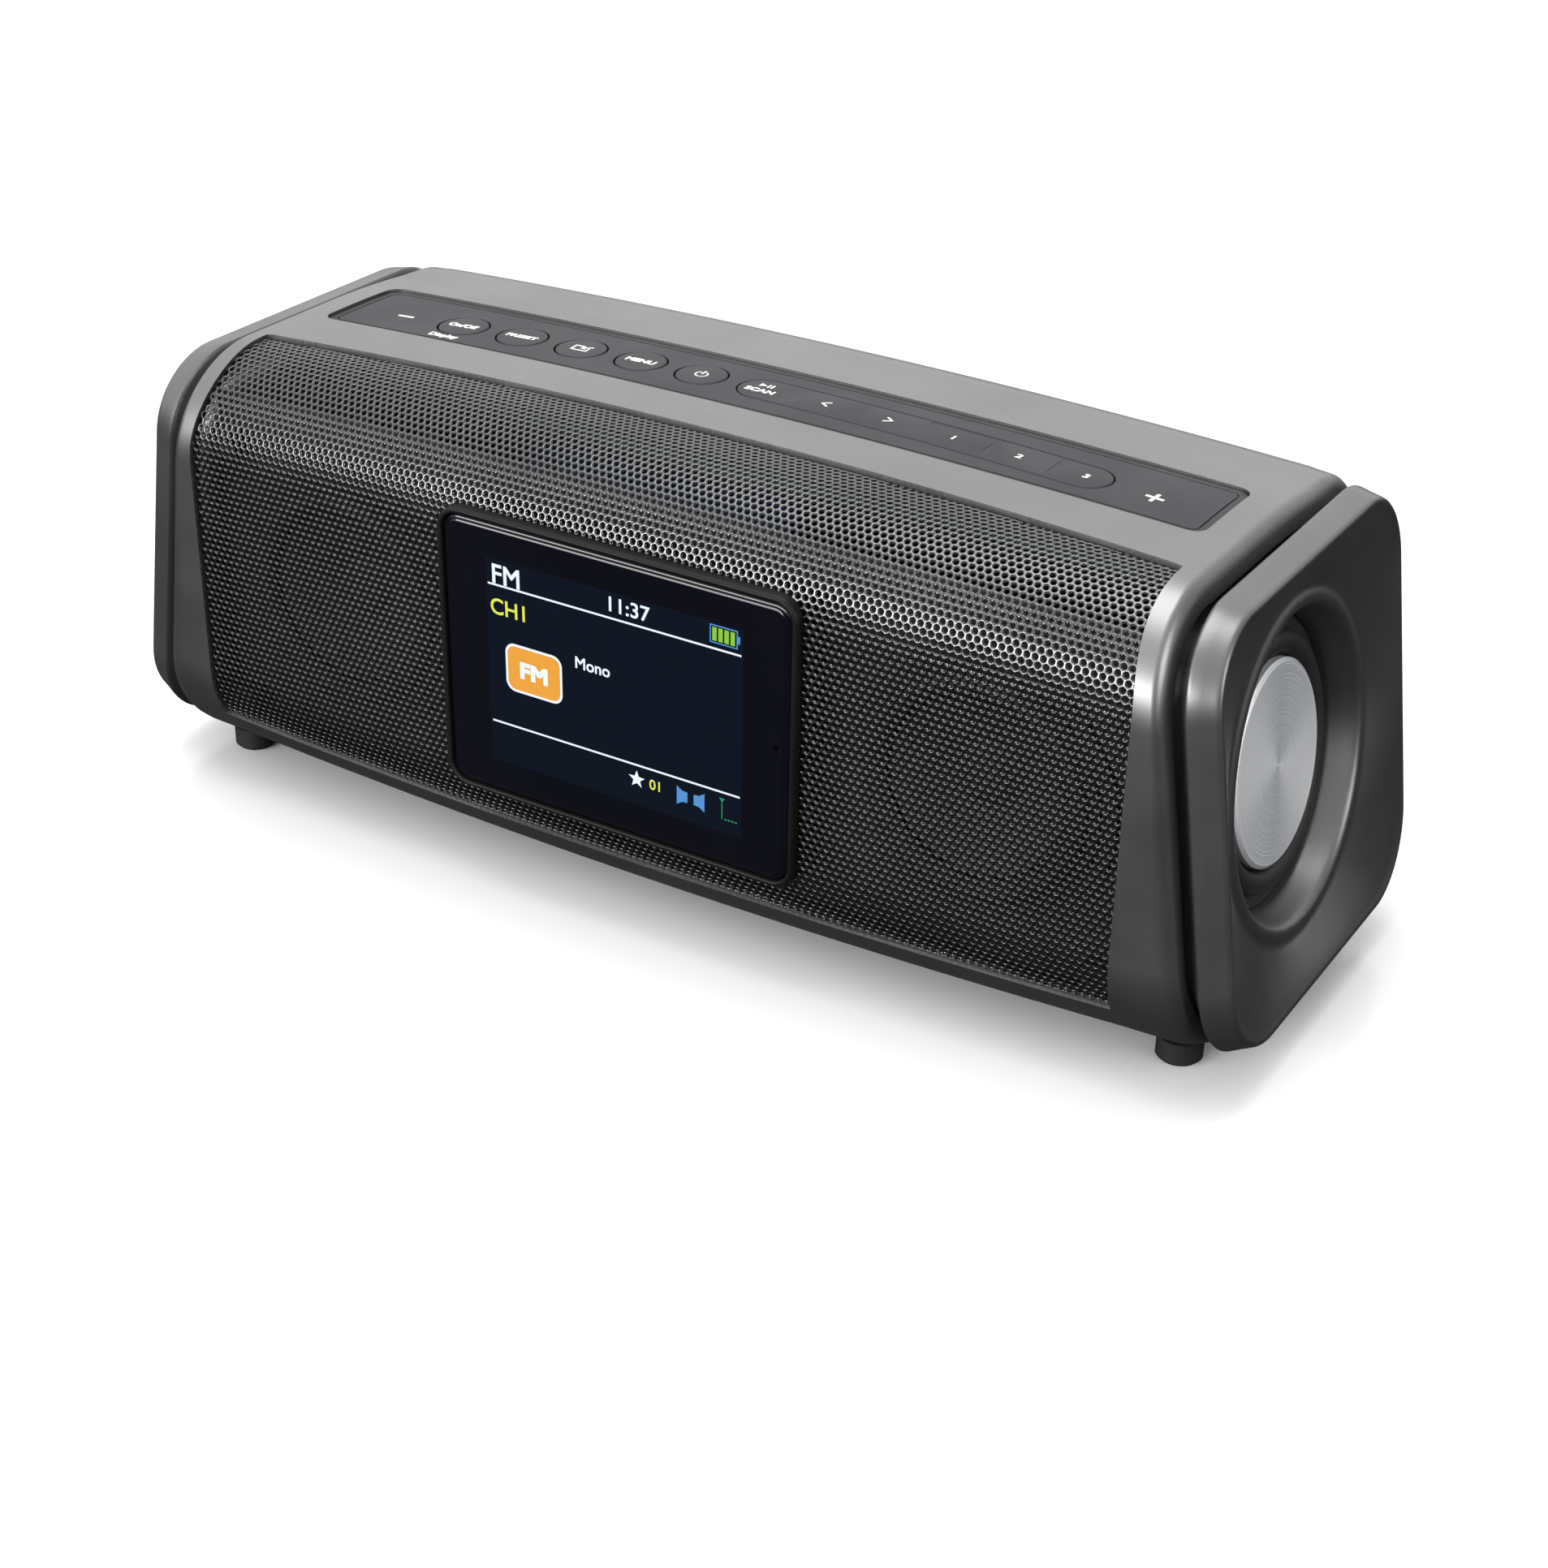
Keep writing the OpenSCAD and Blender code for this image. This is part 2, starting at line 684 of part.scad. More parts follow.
module driver_surround(side) {
    f = -baffle_y;
    color(rubber)
        at_driver(side)
            turned([[18, f + 1.3], [18, f + 2], [19.2, f + 3.2], [20.8, f + 3.6],
                    [22.4, f + 3], [23, f + 2], [25, f + 2], [25, f + 1.3], [22.6, f + 1.3],
                    [21.6, f + 2.4], [20.6, f + 2.8], [19.4, f + 2.4], [18.6, f + 1.3]]);
}
module driver_surround_left() { driver_surround(-1); }
module driver_surround_right() { driver_surround(1); }

// ---- electronics --------------------------------------------------------------------------------
module main_board() {
    color(board_green) translate([-80, -28, 14]) cube([160, 52, 1.6]);
}

module tuner_module() {
    color(steel) translate([-50, -20, 15.7]) cube([34, 28, 3.4]);
}

cell_d = 18.4;
module battery_pack() {
    color([0.16, 0.3, 0.5])
        for (z = [40, 40 + cell_d])
            translate([-66, 22, z]) rotate([0, 90, 0]) cylinder(d = cell_d, h = 66);
}

port_plate_y = 44.6;
module port_plate() {
    color(dark)
        difference() {
            translate([port_x0 - 2, port_plate_y - 1.8, port_z0 - 2])
                cube([port_x1 - port_x0 + 4, 1.8, port_z1 - port_z0 + 4]);
            for (x = audio_x)
                translate([x, port_plate_y - 3, port_mid_z]) rotate([-90, 0, 0]) cylinder(r = 3.2, h = 5);
            translate([usb_x - 4.7, port_plate_y - 3, port_mid_z - 1.9]) cube([9.4, 5, 3.8]);
            translate([dc_x, port_plate_y - 3, port_mid_z]) rotate([-90, 0, 0]) cylinder(r = 4.2, h = 5);
        }
}
port_mid_z = 34;
audio_x = [36, 46];
jack_r = 1.8;
usb_x = 58;
dc_x = 71;

module port_board() {
    color(board_green) translate([30, 26, 27.4]) cube([52, 15, 1.6]);
}

module audio_sockets() {
    color(dark)
        for (x = audio_x)
            difference() {
                union() {
                    translate([x - 3.6, 30, 29.1]) cube([7.2, 12.6, 9]);
                    translate([x, 42.5, port_mid_z]) rotate([-90, 0, 0]) cylinder(r = 3, h = 2);
                }
                translate([x, 31.5, port_mid_z]) rotate([-90, 0, 0]) cylinder(r = jack_r, h = 20, $fn = 48);
            }
}

module usb_socket() {
    color(steel)
        difference() {
            translate([usb_x - 4.5, 37, port_mid_z - 1.65]) cube([9, 7.5, 3.3]);
            translate([usb_x - 4.1, 38, port_mid_z - 1.25]) cube([8.2, 8, 2.5]);
        }
}

module dc_socket() {
    color(dark)
        difference() {
            union() {
                translate([dc_x - 4.5, 30, 29.1]) cube([9, 12.6, 10]);
                translate([dc_x, 42.5, port_mid_z]) rotate([-90, 0, 0]) cylinder(r = 4, h = 2);
            }
            difference() {
                translate([dc_x, 33, port_mid_z]) rotate([-90, 0, 0]) cylinder(r = 2.75, h = 20, $fn = 48);
                translate([dc_x, 32, port_mid_z]) rotate([-90, 0, 0]) cylinder(r = 1, h = 11.5, $fn = 32);
            }
        }
}

// ---- aerial -------------------------------------------------------------------------------------
// the pivot is at the right and the folded rod points to the left; local x runs along the rod
module at_pivot() { translate([pivot_x, rod_y, trough_z]) mirror([1, 0, 0]) children(); }
module at_rod() { at_pivot() rotate([0, 90, 0]) children(); }

module aerial_swivel() {
    color(steel) at_pivot() {
        translate([-11.6, 0, 0]) rotate([0, 90, 0]) cylinder(r = shaft_r, h = 7, $fn = 48);
        translate([-5, 0, 0]) rotate([0, 90, 0]) cylinder(r = 3.8, h = 1.2, $fn = 48);
        for (s = [-1, 1])
            translate([0, 0, s * 2.4 - 0.6])
                difference() {
                    union() {
                        cylinder(r = 2.9, h = 1.2);
                        translate([-4.2, -2.2, 0]) cube([4.2, 4.4, 1.2]);
                    }
                    translate([0, 0, -1]) cylinder(r = 1, h = 4, $fn = 32);
                }
    }
}

module aerial_elbow() {
    color(steel) at_pivot() {
        translate([0, 0, -1.6]) cylinder(r = 2.9, h = 3.2);
        translate([0, 0, -3]) cylinder(r = 0.95, h = 6, $fn = 32);
        translate([2, -1.6, -1.6]) cube([3, 3.2, 3.2]);
    }
}

tube_r = [3, 2.5, 2, 1.5];
tube_wall = 0.44;
tube_x = [5, 7, 9, 11];
tube_end = [148, 151, 154, 157];
module tube(k) {
    color(steel)
        at_rod() translate([0, 0, tube_x[k]])
            difference() {
                cylinder(r = tube_r[k], h = tube_end[k] - tube_x[k], $fn = 48);
                translate([0, 0, k == 0 ? 1 : -1]) cylinder(r = tube_r[k] - tube_wall, h = 200, $fn = 48);
            }
}
module aerial_tube_1() { tube(0); }
module aerial_tube_2() { tube(1); }
module aerial_tube_3() { tube(2); }
module aerial_rod() {
    color(steel)
        at_rod() {
            translate([0, 0, tube_x[3]]) cylinder(r = tube_r[3], h = tube_end[3] - tube_x[3], $fn = 48);
            translate([0, 0, tube_end[3]]) turned([[0, 0], [2.4, 0], [3.2, 1], [3.2, 5], [2, 7], [0, 7.6]]);
        }
}

// ---- feet and screws ----------------------------------------------------------------------------
module feet() {
    color(rubber)
        for (sx = [-1, 1], sy = [-1, 1])
            translate([sx * foot_x, sy * foot_y, 0])
                turned([[0, 0], [foot_d / 2 - 0.6, 0], [foot_d / 2, 0.6], [foot_d / 2, foot_top - 0.02],
                        [0, foot_top - 0.02]]);
}

module case_screws() {
    color(steel)
        for (s = [-1, 1], z = post_z) {
            y_bar(s * post_x, -8, z, screw_r - 0.06, seat_y + 10.2);
            y_bar(s * post_x, seat_y + 2.05, z, 2.6, 1.6);
        }
}

front_frame();
rear_housing();
grille();
speaker_baffle();
display_rim();
display_window();
lcd_panel();
lcd_holder();
keypad_mat();
keypad_board();
tact_switches();
key_minus();
key_display();
key_preset();
key_source();
key_menu();
key_power();
key_play();
key_previous();
key_next();
key_1();
key_2();
key_3();
key_plus();
end_cap_left();
end_cap_right();
radiator_frame_left();
radiator_frame_right();
radiator_surround_left();
radiator_surround_right();
radiator_disc_left();
radiator_disc_right();
driver_basket_left();
driver_basket_right();
driver_magnet_left();
driver_magnet_right();
driver_cone_left();
driver_cone_right();
driver_surround_left();
driver_surround_right();
main_board();
tuner_module();
battery_pack();
port_plate();
port_board();
dc_socket();
usb_socket();
audio_sockets();
aerial_swivel();
aerial_elbow();
aerial_tube_1();
aerial_tube_2();
aerial_tube_3();
aerial_rod();
feet();
case_screws();
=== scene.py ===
"""Portable tabletop radio: bowed case, wrap-around perforated grille, colour display and keypad on top."""
import math

import bmesh
import bpy
import numpy as np
from mathutils import Matrix, Vector


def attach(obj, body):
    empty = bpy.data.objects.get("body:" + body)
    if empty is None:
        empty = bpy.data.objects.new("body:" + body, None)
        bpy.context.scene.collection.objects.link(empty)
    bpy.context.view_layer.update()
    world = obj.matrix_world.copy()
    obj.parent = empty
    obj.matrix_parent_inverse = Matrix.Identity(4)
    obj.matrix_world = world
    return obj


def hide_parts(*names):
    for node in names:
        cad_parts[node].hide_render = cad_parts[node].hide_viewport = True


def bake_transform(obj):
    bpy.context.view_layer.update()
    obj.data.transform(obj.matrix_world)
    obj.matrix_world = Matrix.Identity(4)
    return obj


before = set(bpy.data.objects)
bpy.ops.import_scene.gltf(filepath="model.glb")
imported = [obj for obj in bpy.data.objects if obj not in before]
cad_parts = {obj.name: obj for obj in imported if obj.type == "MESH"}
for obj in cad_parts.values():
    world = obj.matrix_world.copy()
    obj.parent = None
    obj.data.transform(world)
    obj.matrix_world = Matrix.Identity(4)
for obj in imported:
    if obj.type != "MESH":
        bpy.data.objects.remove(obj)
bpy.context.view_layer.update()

# All lengths below are millimetres; MM turns them into the frame's metres.
MM = 0.001

# ---- case section, as in the CAD -------------------------
BOW_REF = 115
BAND_HALF = 112.8
END_SLANT = 0.15
DISPLAY_Z = 52.3
TOP_HEIGHT = 97.6
TOP_ARCH = 2.5
FRONT_REACH = 48.7
REAR_REACH = 49.4
FRONT_BOW = 2
REAR_BOW = 2
BOTTOM_MID = 2.8
BOTTOM_ARCH = 2.2
WALL = 2.4
RIM_W, RIM_H, RIM_R = 80.4, 60, 5
R_FRONT_TOP = 21
R_FRONT_LOW = 24
R_REAR_TOP = 18
R_REAR_LOW = 18
REAR_FALL = 1.5
REAR_FALL_Y = 27
GRILLE_HALF = 104
GRILLE_SINK = 0.8
GRILLE_THICK = 0.6
GRILLE_GAP = 0.3
SLOT_GAP = 0.9
GRILLE_LOW = 29.3
PAD_HALF = 98.7


def bow(x):
    return (x / BOW_REF) ** 2


def y_slot(x):
    return -21.2 - 3.9 * bow(x)


def y_pad_front(x):
    return -9.1 - 1.9 * bow(x)


def y_pad_rear(x):
    return 15.1 - 2 * bow(x)


def fall(y):
    return REAR_FALL * (y / REAR_FALL_Y) ** 2 if y > 0 else 0


def smooth(t):
    k = min(max(t, 0), 1)
    return k * k * (3 - 2 * k)


def edge_x(z):
    return GRILLE_HALF - 2.6 * smooth((z - 76) / 20)


def band_x(z):
    return BAND_HALF - END_SLANT * (z - DISPLAY_Z)


def arc(yc, zc, r, sy, sz, angles):
    return [
        (yc + sy * r * math.cos(math.radians(a)), zc + sz * r * math.sin(math.radians(a)))
        for a in angles
    ]


def between(a, b, n):
    return [a + (b - a) * k / n for k in range(n + 1)]


TOP_ANGLES = between(90, 0, 18)
LOW_ANGLES = [0, 6, 12, 18, 24, 30, 36, 44, 52, 60, 68, 76, 84, 90]
SLOT_ROW = 4
LOW_ROW = SLOT_ROW + 1 + len(TOP_ANGLES) + 3 + LOW_ANGLES.index(30)


def front_section(x, d, _w=0):
    """(y, z) points from the seam on top, down the front, to the seam underneath, d below the face."""
    rt, rl = R_FRONT_TOP - d, R_FRONT_LOW - d
    yf = -FRONT_REACH + FRONT_BOW * bow(x) + d
    zt = TOP_HEIGHT - TOP_ARCH * bow(x) - d
    zb = BOTTOM_MID + BOTTOM_ARCH * bow(x) + d
    flat = [(yf, z) for z in between(zt - rt, zb + rl, 4)[1:-1]]
    return (
        [(0, zt), (y_pad_front(x) / 2, zt), (y_pad_front(x), zt)]
        + [((y_pad_front(x) + y_slot(x)) / 2, zt), (y_slot(x), zt)]
        + arc(yf + rt, zt - rt, rt, -1, 1, TOP_ANGLES)
        + flat
        + arc(yf + rl, zb + rl, rl, -1, -1, LOW_ANGLES)
        + [(-10, zb), (0, zb)]
    )


TROUGH_Z = 73
TROUGH_END = 88.8
TROUGH_DEEP = 8.4
REAR_ANGLES = between(90, 0, 15)
PORT_LOW, PORT_HIGH = 27, 41
PORT_ROW = 2 + len(REAR_ANGLES)


def rear_section(x, d, w=0):
    """(y, z) points from the seam underneath, up the rear, to the seam on top, d below the face.

    w is how far this face lies behind the trough's own face."""
    rt, rl = R_REAR_TOP - d, R_REAR_LOW - d
    yr = REAR_REACH - REAR_BOW * bow(x) - d
    zt = TOP_HEIGHT - TOP_ARCH * bow(x) - d
    zb = BOTTOM_MID + BOTTOM_ARCH * bow(x) + d
    zr = zt - REAR_FALL
    tr = TROUGH_DEEP * smooth((TROUGH_END - x) / 2)
    th = 5 + w
    slope_ys = between(yr - rt, 0, 6)
    return (
        [(0, zb), (10, zb)]
        + arc(yr - rl, zb + rl, rl, 1, -1, REAR_ANGLES)
        + [(yr, PORT_LOW), (yr, PORT_HIGH), (yr, TROUGH_Z - th - 3), (yr, TROUGH_Z - th - 0.5)]
        + [(yr - 0.15 * min(tr, 1), TROUGH_Z - th), (yr - tr, TROUGH_Z - th + 0.7)]
        + [(yr - tr, TROUGH_Z + th - 0.7), (yr - 0.15 * min(tr, 1), TROUGH_Z + th)]
        + arc(yr - rt, zr - rt, rt, 1, 1, REAR_ANGLES[::-1])[1:]
        + [(y, zt - fall(y)) for y in slope_ys[1:]]
    )


def columns(inner):
    """[nominal x, share of the end band, depth of the edge rounding], left to right."""
    turns = [(0, 0), (0.3, 0)] + [
        (0.59 + 0.41 * math.sin(a), 2.6 * (1 - math.cos(a)))
        for a in [math.radians(k * 9) for k in range(11)]
    ]
    wide = BAND_HALF - GRILLE_HALF
    right = [(GRILLE_HALF + f * wide, f, d) for f, d in turns]
    left = [(-x, f, d) for x, f, d in right[::-1]]
    return left + [(x, 0, 0) for x in inner] + right


def place(col, p):
    x, f, _ = col
    y, z = p
    if abs(x) < GRILLE_HALF:
        return (x, y, z)
    e = edge_x(z)
    return (math.copysign(e + f * (band_x(z) - e), x), y, z)


# ---- mesh helpers ----------------------------------------
def mesh_object(name, points, faces, angle=35):
    """An object from points in millimetres; edges sharper than angle stay sharp."""
    mesh = bpy.data.meshes.new(name)
    mesh.from_pydata([tuple(c * MM for c in p) for p in points], [], faces)
    mesh.update()
    mesh.shade_smooth()
    mesh.set_sharp_from_angle(angle=math.radians(angle))
    obj = bpy.data.objects.new(name, mesh)
    bpy.context.scene.collection.objects.link(obj)
    return obj


def clean(obj, flip=False, angle=35):
    """Welds doubles, drops loose points and points the faces outwards."""
    bm = bmesh.new()
    bm.from_mesh(obj.data)
    bmesh.ops.remove_doubles(bm, verts=bm.verts, dist=1e-6)
    bmesh.ops.delete(bm, geom=[v for v in bm.verts if not v.link_faces], context="VERTS")
    bmesh.ops.recalc_face_normals(bm, faces=bm.faces)
    if flip:
        bmesh.ops.reverse_faces(bm, faces=bm.faces)
    bm.to_mesh(obj.data)
    bm.free()
    obj.data.shade_smooth()
    obj.data.set_sharp_from_angle(angle=math.radians(angle))
    return obj


def apply_modifiers(obj, angle=35):
    """Makes the modifiers' result the object's own mesh."""
    bpy.context.view_layer.update()
    graph = bpy.context.evaluated_depsgraph_get()
    mesh = bpy.data.meshes.new_from_object(obj.evaluated_get(graph), depsgraph=graph)
    obj.modifiers.clear()
    obj.data = mesh
    mesh.shade_smooth()
    mesh.set_sharp_from_angle(angle=math.radians(angle))
    return obj


def solidify(obj, thick, offset=-1):
    m = obj.modifiers.new("thick", "SOLIDIFY")
    m.thickness = thick * MM
    m.offset = offset
    m.use_even_offset = True
    return apply_modifiers(obj)


def cut(obj, *cutters, operation="DIFFERENCE"):
    """Boolean against each cutter, which is then removed."""
    for cutter in cutters:
        m = obj.modifiers.new("cut", "BOOLEAN")
        m.operation = operation
        m.solver = "EXACT"
        m.object = cutter
        apply_modifiers(obj)
        bpy.data.objects.remove(cutter)
    return obj


def bevel(obj, width, segments=2, angle=40):
    m = obj.modifiers.new("bevel", "BEVEL")
    m.width = width * MM
    m.segments = segments
    m.limit_method = "ANGLE"
    m.angle_limit = math.radians(angle)
    m.use_clamp_overlap = True
    apply_modifiers(obj, angle=60)
    m = obj.modifiers.new("normals", "WEIGHTED_NORMAL")
    m.keep_sharp = True
    return obj


def grid_faces(ni, nj, keep=lambda i, j: True):
    return [
        (i * nj + j, i * nj + j + 1, (i + 1) * nj + j + 1, (i + 1) * nj + j)
        for i in range(ni - 1)
        for j in range(nj - 1)
        if keep(i, j)
    ]


def loop_faces(n, m, closed=False):
    """Quads that join m loops of n points each."""
    rings = m if closed else m - 1
    return [
        (
            k * n + i,
            k * n + (i + 1) % n,
            ((k + 1) % m) * n + (i + 1) % n,
            ((k + 1) % m) * n + i,
        )
        for k in range(rings)
        for i in range(n)
    ]


def skin(name, loops, closed=False, ends=False, angle=35):
    """A surface through loops of points; ends closes the first and the last loop."""
    n = len(loops[0])
    faces = loop_faces(n, len(loops), closed)
    if ends:
        faces.append(tuple(range(n))[::-1])
        faces.append(tuple((len(loops) - 1) * n + i for i in range(n)))
    obj = mesh_object(name, [p for loop in loops for p in loop], faces)
    return clean(obj, angle=angle)


def turned(name, profile, steps=96, closed=True, angle=35):
    """A solid of revolution about local z from (radius, height) points."""
    angles = [2 * math.pi * k / steps for k in range(steps)]
    loops = [[(r * math.cos(a), r * math.sin(a), z) for a in angles] for r, z in profile]
    return skin(name, loops, closed=closed, angle=angle)


def prism(name, outline, low, high, angle=35):
    """An upright prism with a flat outline of (x, y) points."""
    return skin(name, [[(x, y, z) for x, y in outline] for z in (low, high)], ends=True, angle=angle)


def moved(obj, matrix):
    """Moves the mesh itself by a matrix given in millimetres."""
    m = matrix.copy()
    m.translation *= MM
    obj.data.transform(m)
    if m.determinant() < 0:
        obj.data.flip_normals()
    return obj


def joined(name, objects):
    """One object from several that have no materials yet."""
    bm = bmesh.new()
    for o in objects:
        bm.from_mesh(o.data)
        bpy.data.objects.remove(o)
    mesh = bpy.data.meshes.new(name)
    bm.to_mesh(mesh)
    bm.free()
    obj = bpy.data.objects.new(name, mesh)
    bpy.context.scene.collection.objects.link(obj)
    return obj


def rounded_outline(w, h, r, steps=8):
    """Counter-clockwise rounded rectangle about the origin."""
    out = []
    for k, (sx, sy) in enumerate([(1, 1), (-1, 1), (-1, -1), (1, -1)]):
        for i in range(steps + 1):
            a = math.radians(90 * (k + i / steps))
            out.append((sx * (w / 2 - r) + r * math.cos(a), sy * (h / 2 - r) + r * math.sin(a)))
    return out


# ---- materials -------------------------------------------
class Nodes:
    """Short names for building a node material."""

    def __init__(self, name):
        self.material = bpy.data.materials.new(name)
        self.material.use_nodes = True
        self.tree = self.material.node_tree
        self.shader = self.tree.nodes["Principled BSDF"]

    def new(self, kind, **values):
        node = self.tree.nodes.new(kind)
        for key, value in values.items():
            if key in node.inputs:
                node.inputs[key].default_value = value
            else:
                setattr(node, key, value)
        return node

    def link(self, out, to):
        self.tree.links.new(out, to)

    def set(self, **values):
        for key, value in values.items():
            self.shader.inputs[key.replace("_", " ")].default_value = value

    def where(self):
        return self.new("ShaderNodeTexCoord").outputs["Object"]

    def noise(self, scale, detail=3, roughness=0.5, vector=None):
        node = self.new("ShaderNodeTexNoise", Scale=scale, Detail=detail, Roughness=roughness)
        self.link(vector or self.where(), node.inputs["Vector"])
        return node.outputs["Fac"]

    def spread(self, source, low, high, start=0.3, end=0.7):
        node = self.new("ShaderNodeMapRange")
        node.inputs["From Min"].default_value = start
        node.inputs["From Max"].default_value = end
        node.inputs["To Min"].default_value = low
        node.inputs["To Max"].default_value = high
        self.link(source, node.inputs["Value"])
        return node.outputs["Result"]

    def tint(self, source, low, high, start=0.3, end=0.7):
        ramp = self.new("ShaderNodeValToRGB")
        ramp.color_ramp.elements[0].position = start
        ramp.color_ramp.elements[1].position = end
        ramp.color_ramp.elements[0].color = (*low, 1)
        ramp.color_ramp.elements[1].color = (*high, 1)
        self.link(source, ramp.inputs["Fac"])
        self.link(ramp.outputs["Color"], self.shader.inputs["Base Color"])

    def bump(self, source, strength, distance):
        node = self.new("ShaderNodeBump", Strength=strength, Distance=distance * MM)
        self.link(source, node.inputs["Height"])
        self.link(node.outputs["Normal"], self.shader.inputs["Normal"])

    def calc(self, operation, *sources):
        """The result of a Math node; a source is a number or another node's output."""
        node = self.new("ShaderNodeMath", operation=operation)
        for source, into in zip(sources, node.inputs):
            if isinstance(source, (int, float)):
                into.default_value = source
            else:
                self.link(source, into)
        return node.outputs[0]

    def rough(self, source):
        self.link(source, self.shader.inputs["Roughness"])


def grey(v, blue=1.0):
    return (v, v, v * blue)


def moulded(name, low, high, rough, metallic=0.0, grain=2600, depth=0.012, specular=0.5):
    """Moulded or painted surface: fine grain in the bump, faint variation in tone and gloss."""
    m = Nodes(name)
    m.set(Metallic=metallic, Specular_IOR_Level=specular)
    m.tint(m.noise(35, 2), low, high)
    m.rough(m.spread(m.noise(60, 3), rough[0], rough[1]))
    m.bump(m.noise(grain, 2, 0.6), 0.35, depth)
    return m.material


def lit(name, colour, strength):
    """A glowing part of the display, seen through its glossy cover."""
    m = Nodes(name)
    m.set(Base_Color=(*[c * 0.2 for c in colour], 1), Roughness=0.15, Coat_Weight=0.5)
    m.set(Emission_Strength=strength)
    grain = m.new("ShaderNodeValToRGB")
    grain.color_ramp.elements[0].color = (*[c * 0.86 for c in colour], 1)
    grain.color_ramp.elements[1].color = (*colour, 1)
    m.link(m.noise(900, 1), grain.inputs["Fac"])
    m.link(grain.outputs["Color"], m.shader.inputs["Emission Color"])
    return m.material


# painted highlight: two pale wedges painted into the turned metal's colour, where its reflections would lie;
# how far round they lie, and how strong they are
PAINTED_WEDGE_TURN = math.radians(60)
PAINTED_WEDGE_SHARE = 0.22


def spun_metal(name):
    """Aluminium turned on a lathe about the object's own x axis, with turning rings and a painted highlight:
    two pale wedges in its colour.
    """
    m = Nodes(name)
    m.set(Metallic=0.3, Anisotropic=0.8)
    split = m.new("ShaderNodeSeparateXYZ")
    m.link(m.new("ShaderNodeTexCoord").outputs["Generated"], split.inputs["Vector"])
    across, up = [m.calc("SUBTRACT", split.outputs[axis], 0.5) for axis in "YZ"]
    square = m.calc("ADD", m.calc("MULTIPLY", across, across), m.calc("MULTIPLY", up, up))
    rings = m.new("ShaderNodeTexNoise", Scale=170, Detail=2)
    rings.noise_dimensions = "1D"
    m.link(m.calc("SQRT", square), rings.inputs["W"])
    # painted highlight: two pale wedges round the axis, added to the turning rings in the base colour
    doubled = m.calc("MULTIPLY_ADD", m.calc("ARCTAN2", up, across), 2, PAINTED_WEDGE_TURN)
    rings_and_painted_highlight = m.calc("MULTIPLY_ADD", m.calc("COSINE", doubled), PAINTED_WEDGE_SHARE, rings.outputs["Fac"])
    m.tint(rings_and_painted_highlight, (0.5, 0.52, 0.55), (0.97, 0.98, 1.0), 0.25, 0.8)
    m.rough(m.spread(rings.outputs["Fac"], 0.28, 0.4))
    m.bump(rings.outputs["Fac"], 0.3, 0.02)
    tangent = m.new("ShaderNodeTangent", direction_type="RADIAL", axis="X")
    m.link(tangent.outputs["Tangent"], m.shader.inputs["Tangent"])
    return m.material


SHELL = moulded("shell_paint", grey(0.21), grey(0.24), (0.34, 0.4), metallic=0.92)
CAP = moulded("cap_paint", grey(0.16), grey(0.18), (0.34, 0.4), metallic=0.85)
GRILLE = moulded(
    "grille_enamel", grey(0.105), grey(0.125), (0.2, 0.26), metallic=0.96, grain=1800, depth=0.006
)
BLACK = moulded("black_plastic", grey(0.018), grey(0.026), (0.45, 0.55))
BEZEL = moulded("bezel_plastic", grey(0.005), grey(0.008), (0.4, 0.48), specular=0.18)
PAD = moulded("keypad_silicone", grey(0.028, 1.15), grey(0.034, 1.15), (0.5, 0.6), specular=0.3)
RUBBER = moulded("rubber", grey(0.014), grey(0.02), (0.5, 0.62), specular=0.4)
PRINT = moulded("white_print", grey(0.78), grey(0.85), (0.45, 0.5), depth=0.004)
STEEL = moulded("plated_steel", grey(0.5), grey(0.6), (0.25, 0.35), metallic=1.0, depth=0.004)
CHROME = moulded("chrome", grey(0.62), grey(0.68), (0.08, 0.14), metallic=1.0, depth=0.001)
MAGNET = moulded("magnet_iron", grey(0.06), grey(0.09), (0.6, 0.7))
BOARD = moulded("solder_mask", (0.01, 0.1, 0.035), (0.015, 0.14, 0.05), (0.3, 0.4))
CELL = moulded("cell_wrap", (0.02, 0.1, 0.3), (0.03, 0.13, 0.36), (0.2, 0.3))
CONE = moulded("cone_fibre", grey(0.02), grey(0.035), (0.7, 0.8), grain=900, depth=0.05)
GLOSS = moulded(
    "display_gloss", grey(0.003, 2.0), grey(0.004, 2.0), (0.04, 0.06), depth=0.0005, specular=0.35
)
ALUMINIUM = spun_metal("spun_aluminium")
SCREEN = lit("screen_dark", (0.012, 0.024, 0.055), 0.02)
WHITE = lit("screen_white", (0.85, 0.92, 1.0), 0.9)
YELLOW = lit("screen_yellow", (0.85, 0.9, 0.12), 0.75)
ORANGE = lit("screen_orange", (0.95, 0.42, 0.06), 0.75)
GREEN = lit("screen_green", (0.35, 0.75, 0.08), 0.6)
BLUE = lit("screen_blue", (0.12, 0.38, 0.85), 0.6)
DIM_GREEN = lit("screen_dim_green", (0.05, 0.4, 0.2), 0.5)


def dressed(obj, material, body, slot, *nodes):
    """Gives a piece its material and its body, and hides the CAD nodes it stands for; slot is not used."""
    if material is not None:
        obj.data.materials.clear()
        obj.data.materials.append(material)
    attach(obj, body)
    if nodes:
        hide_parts(*nodes)
    return obj


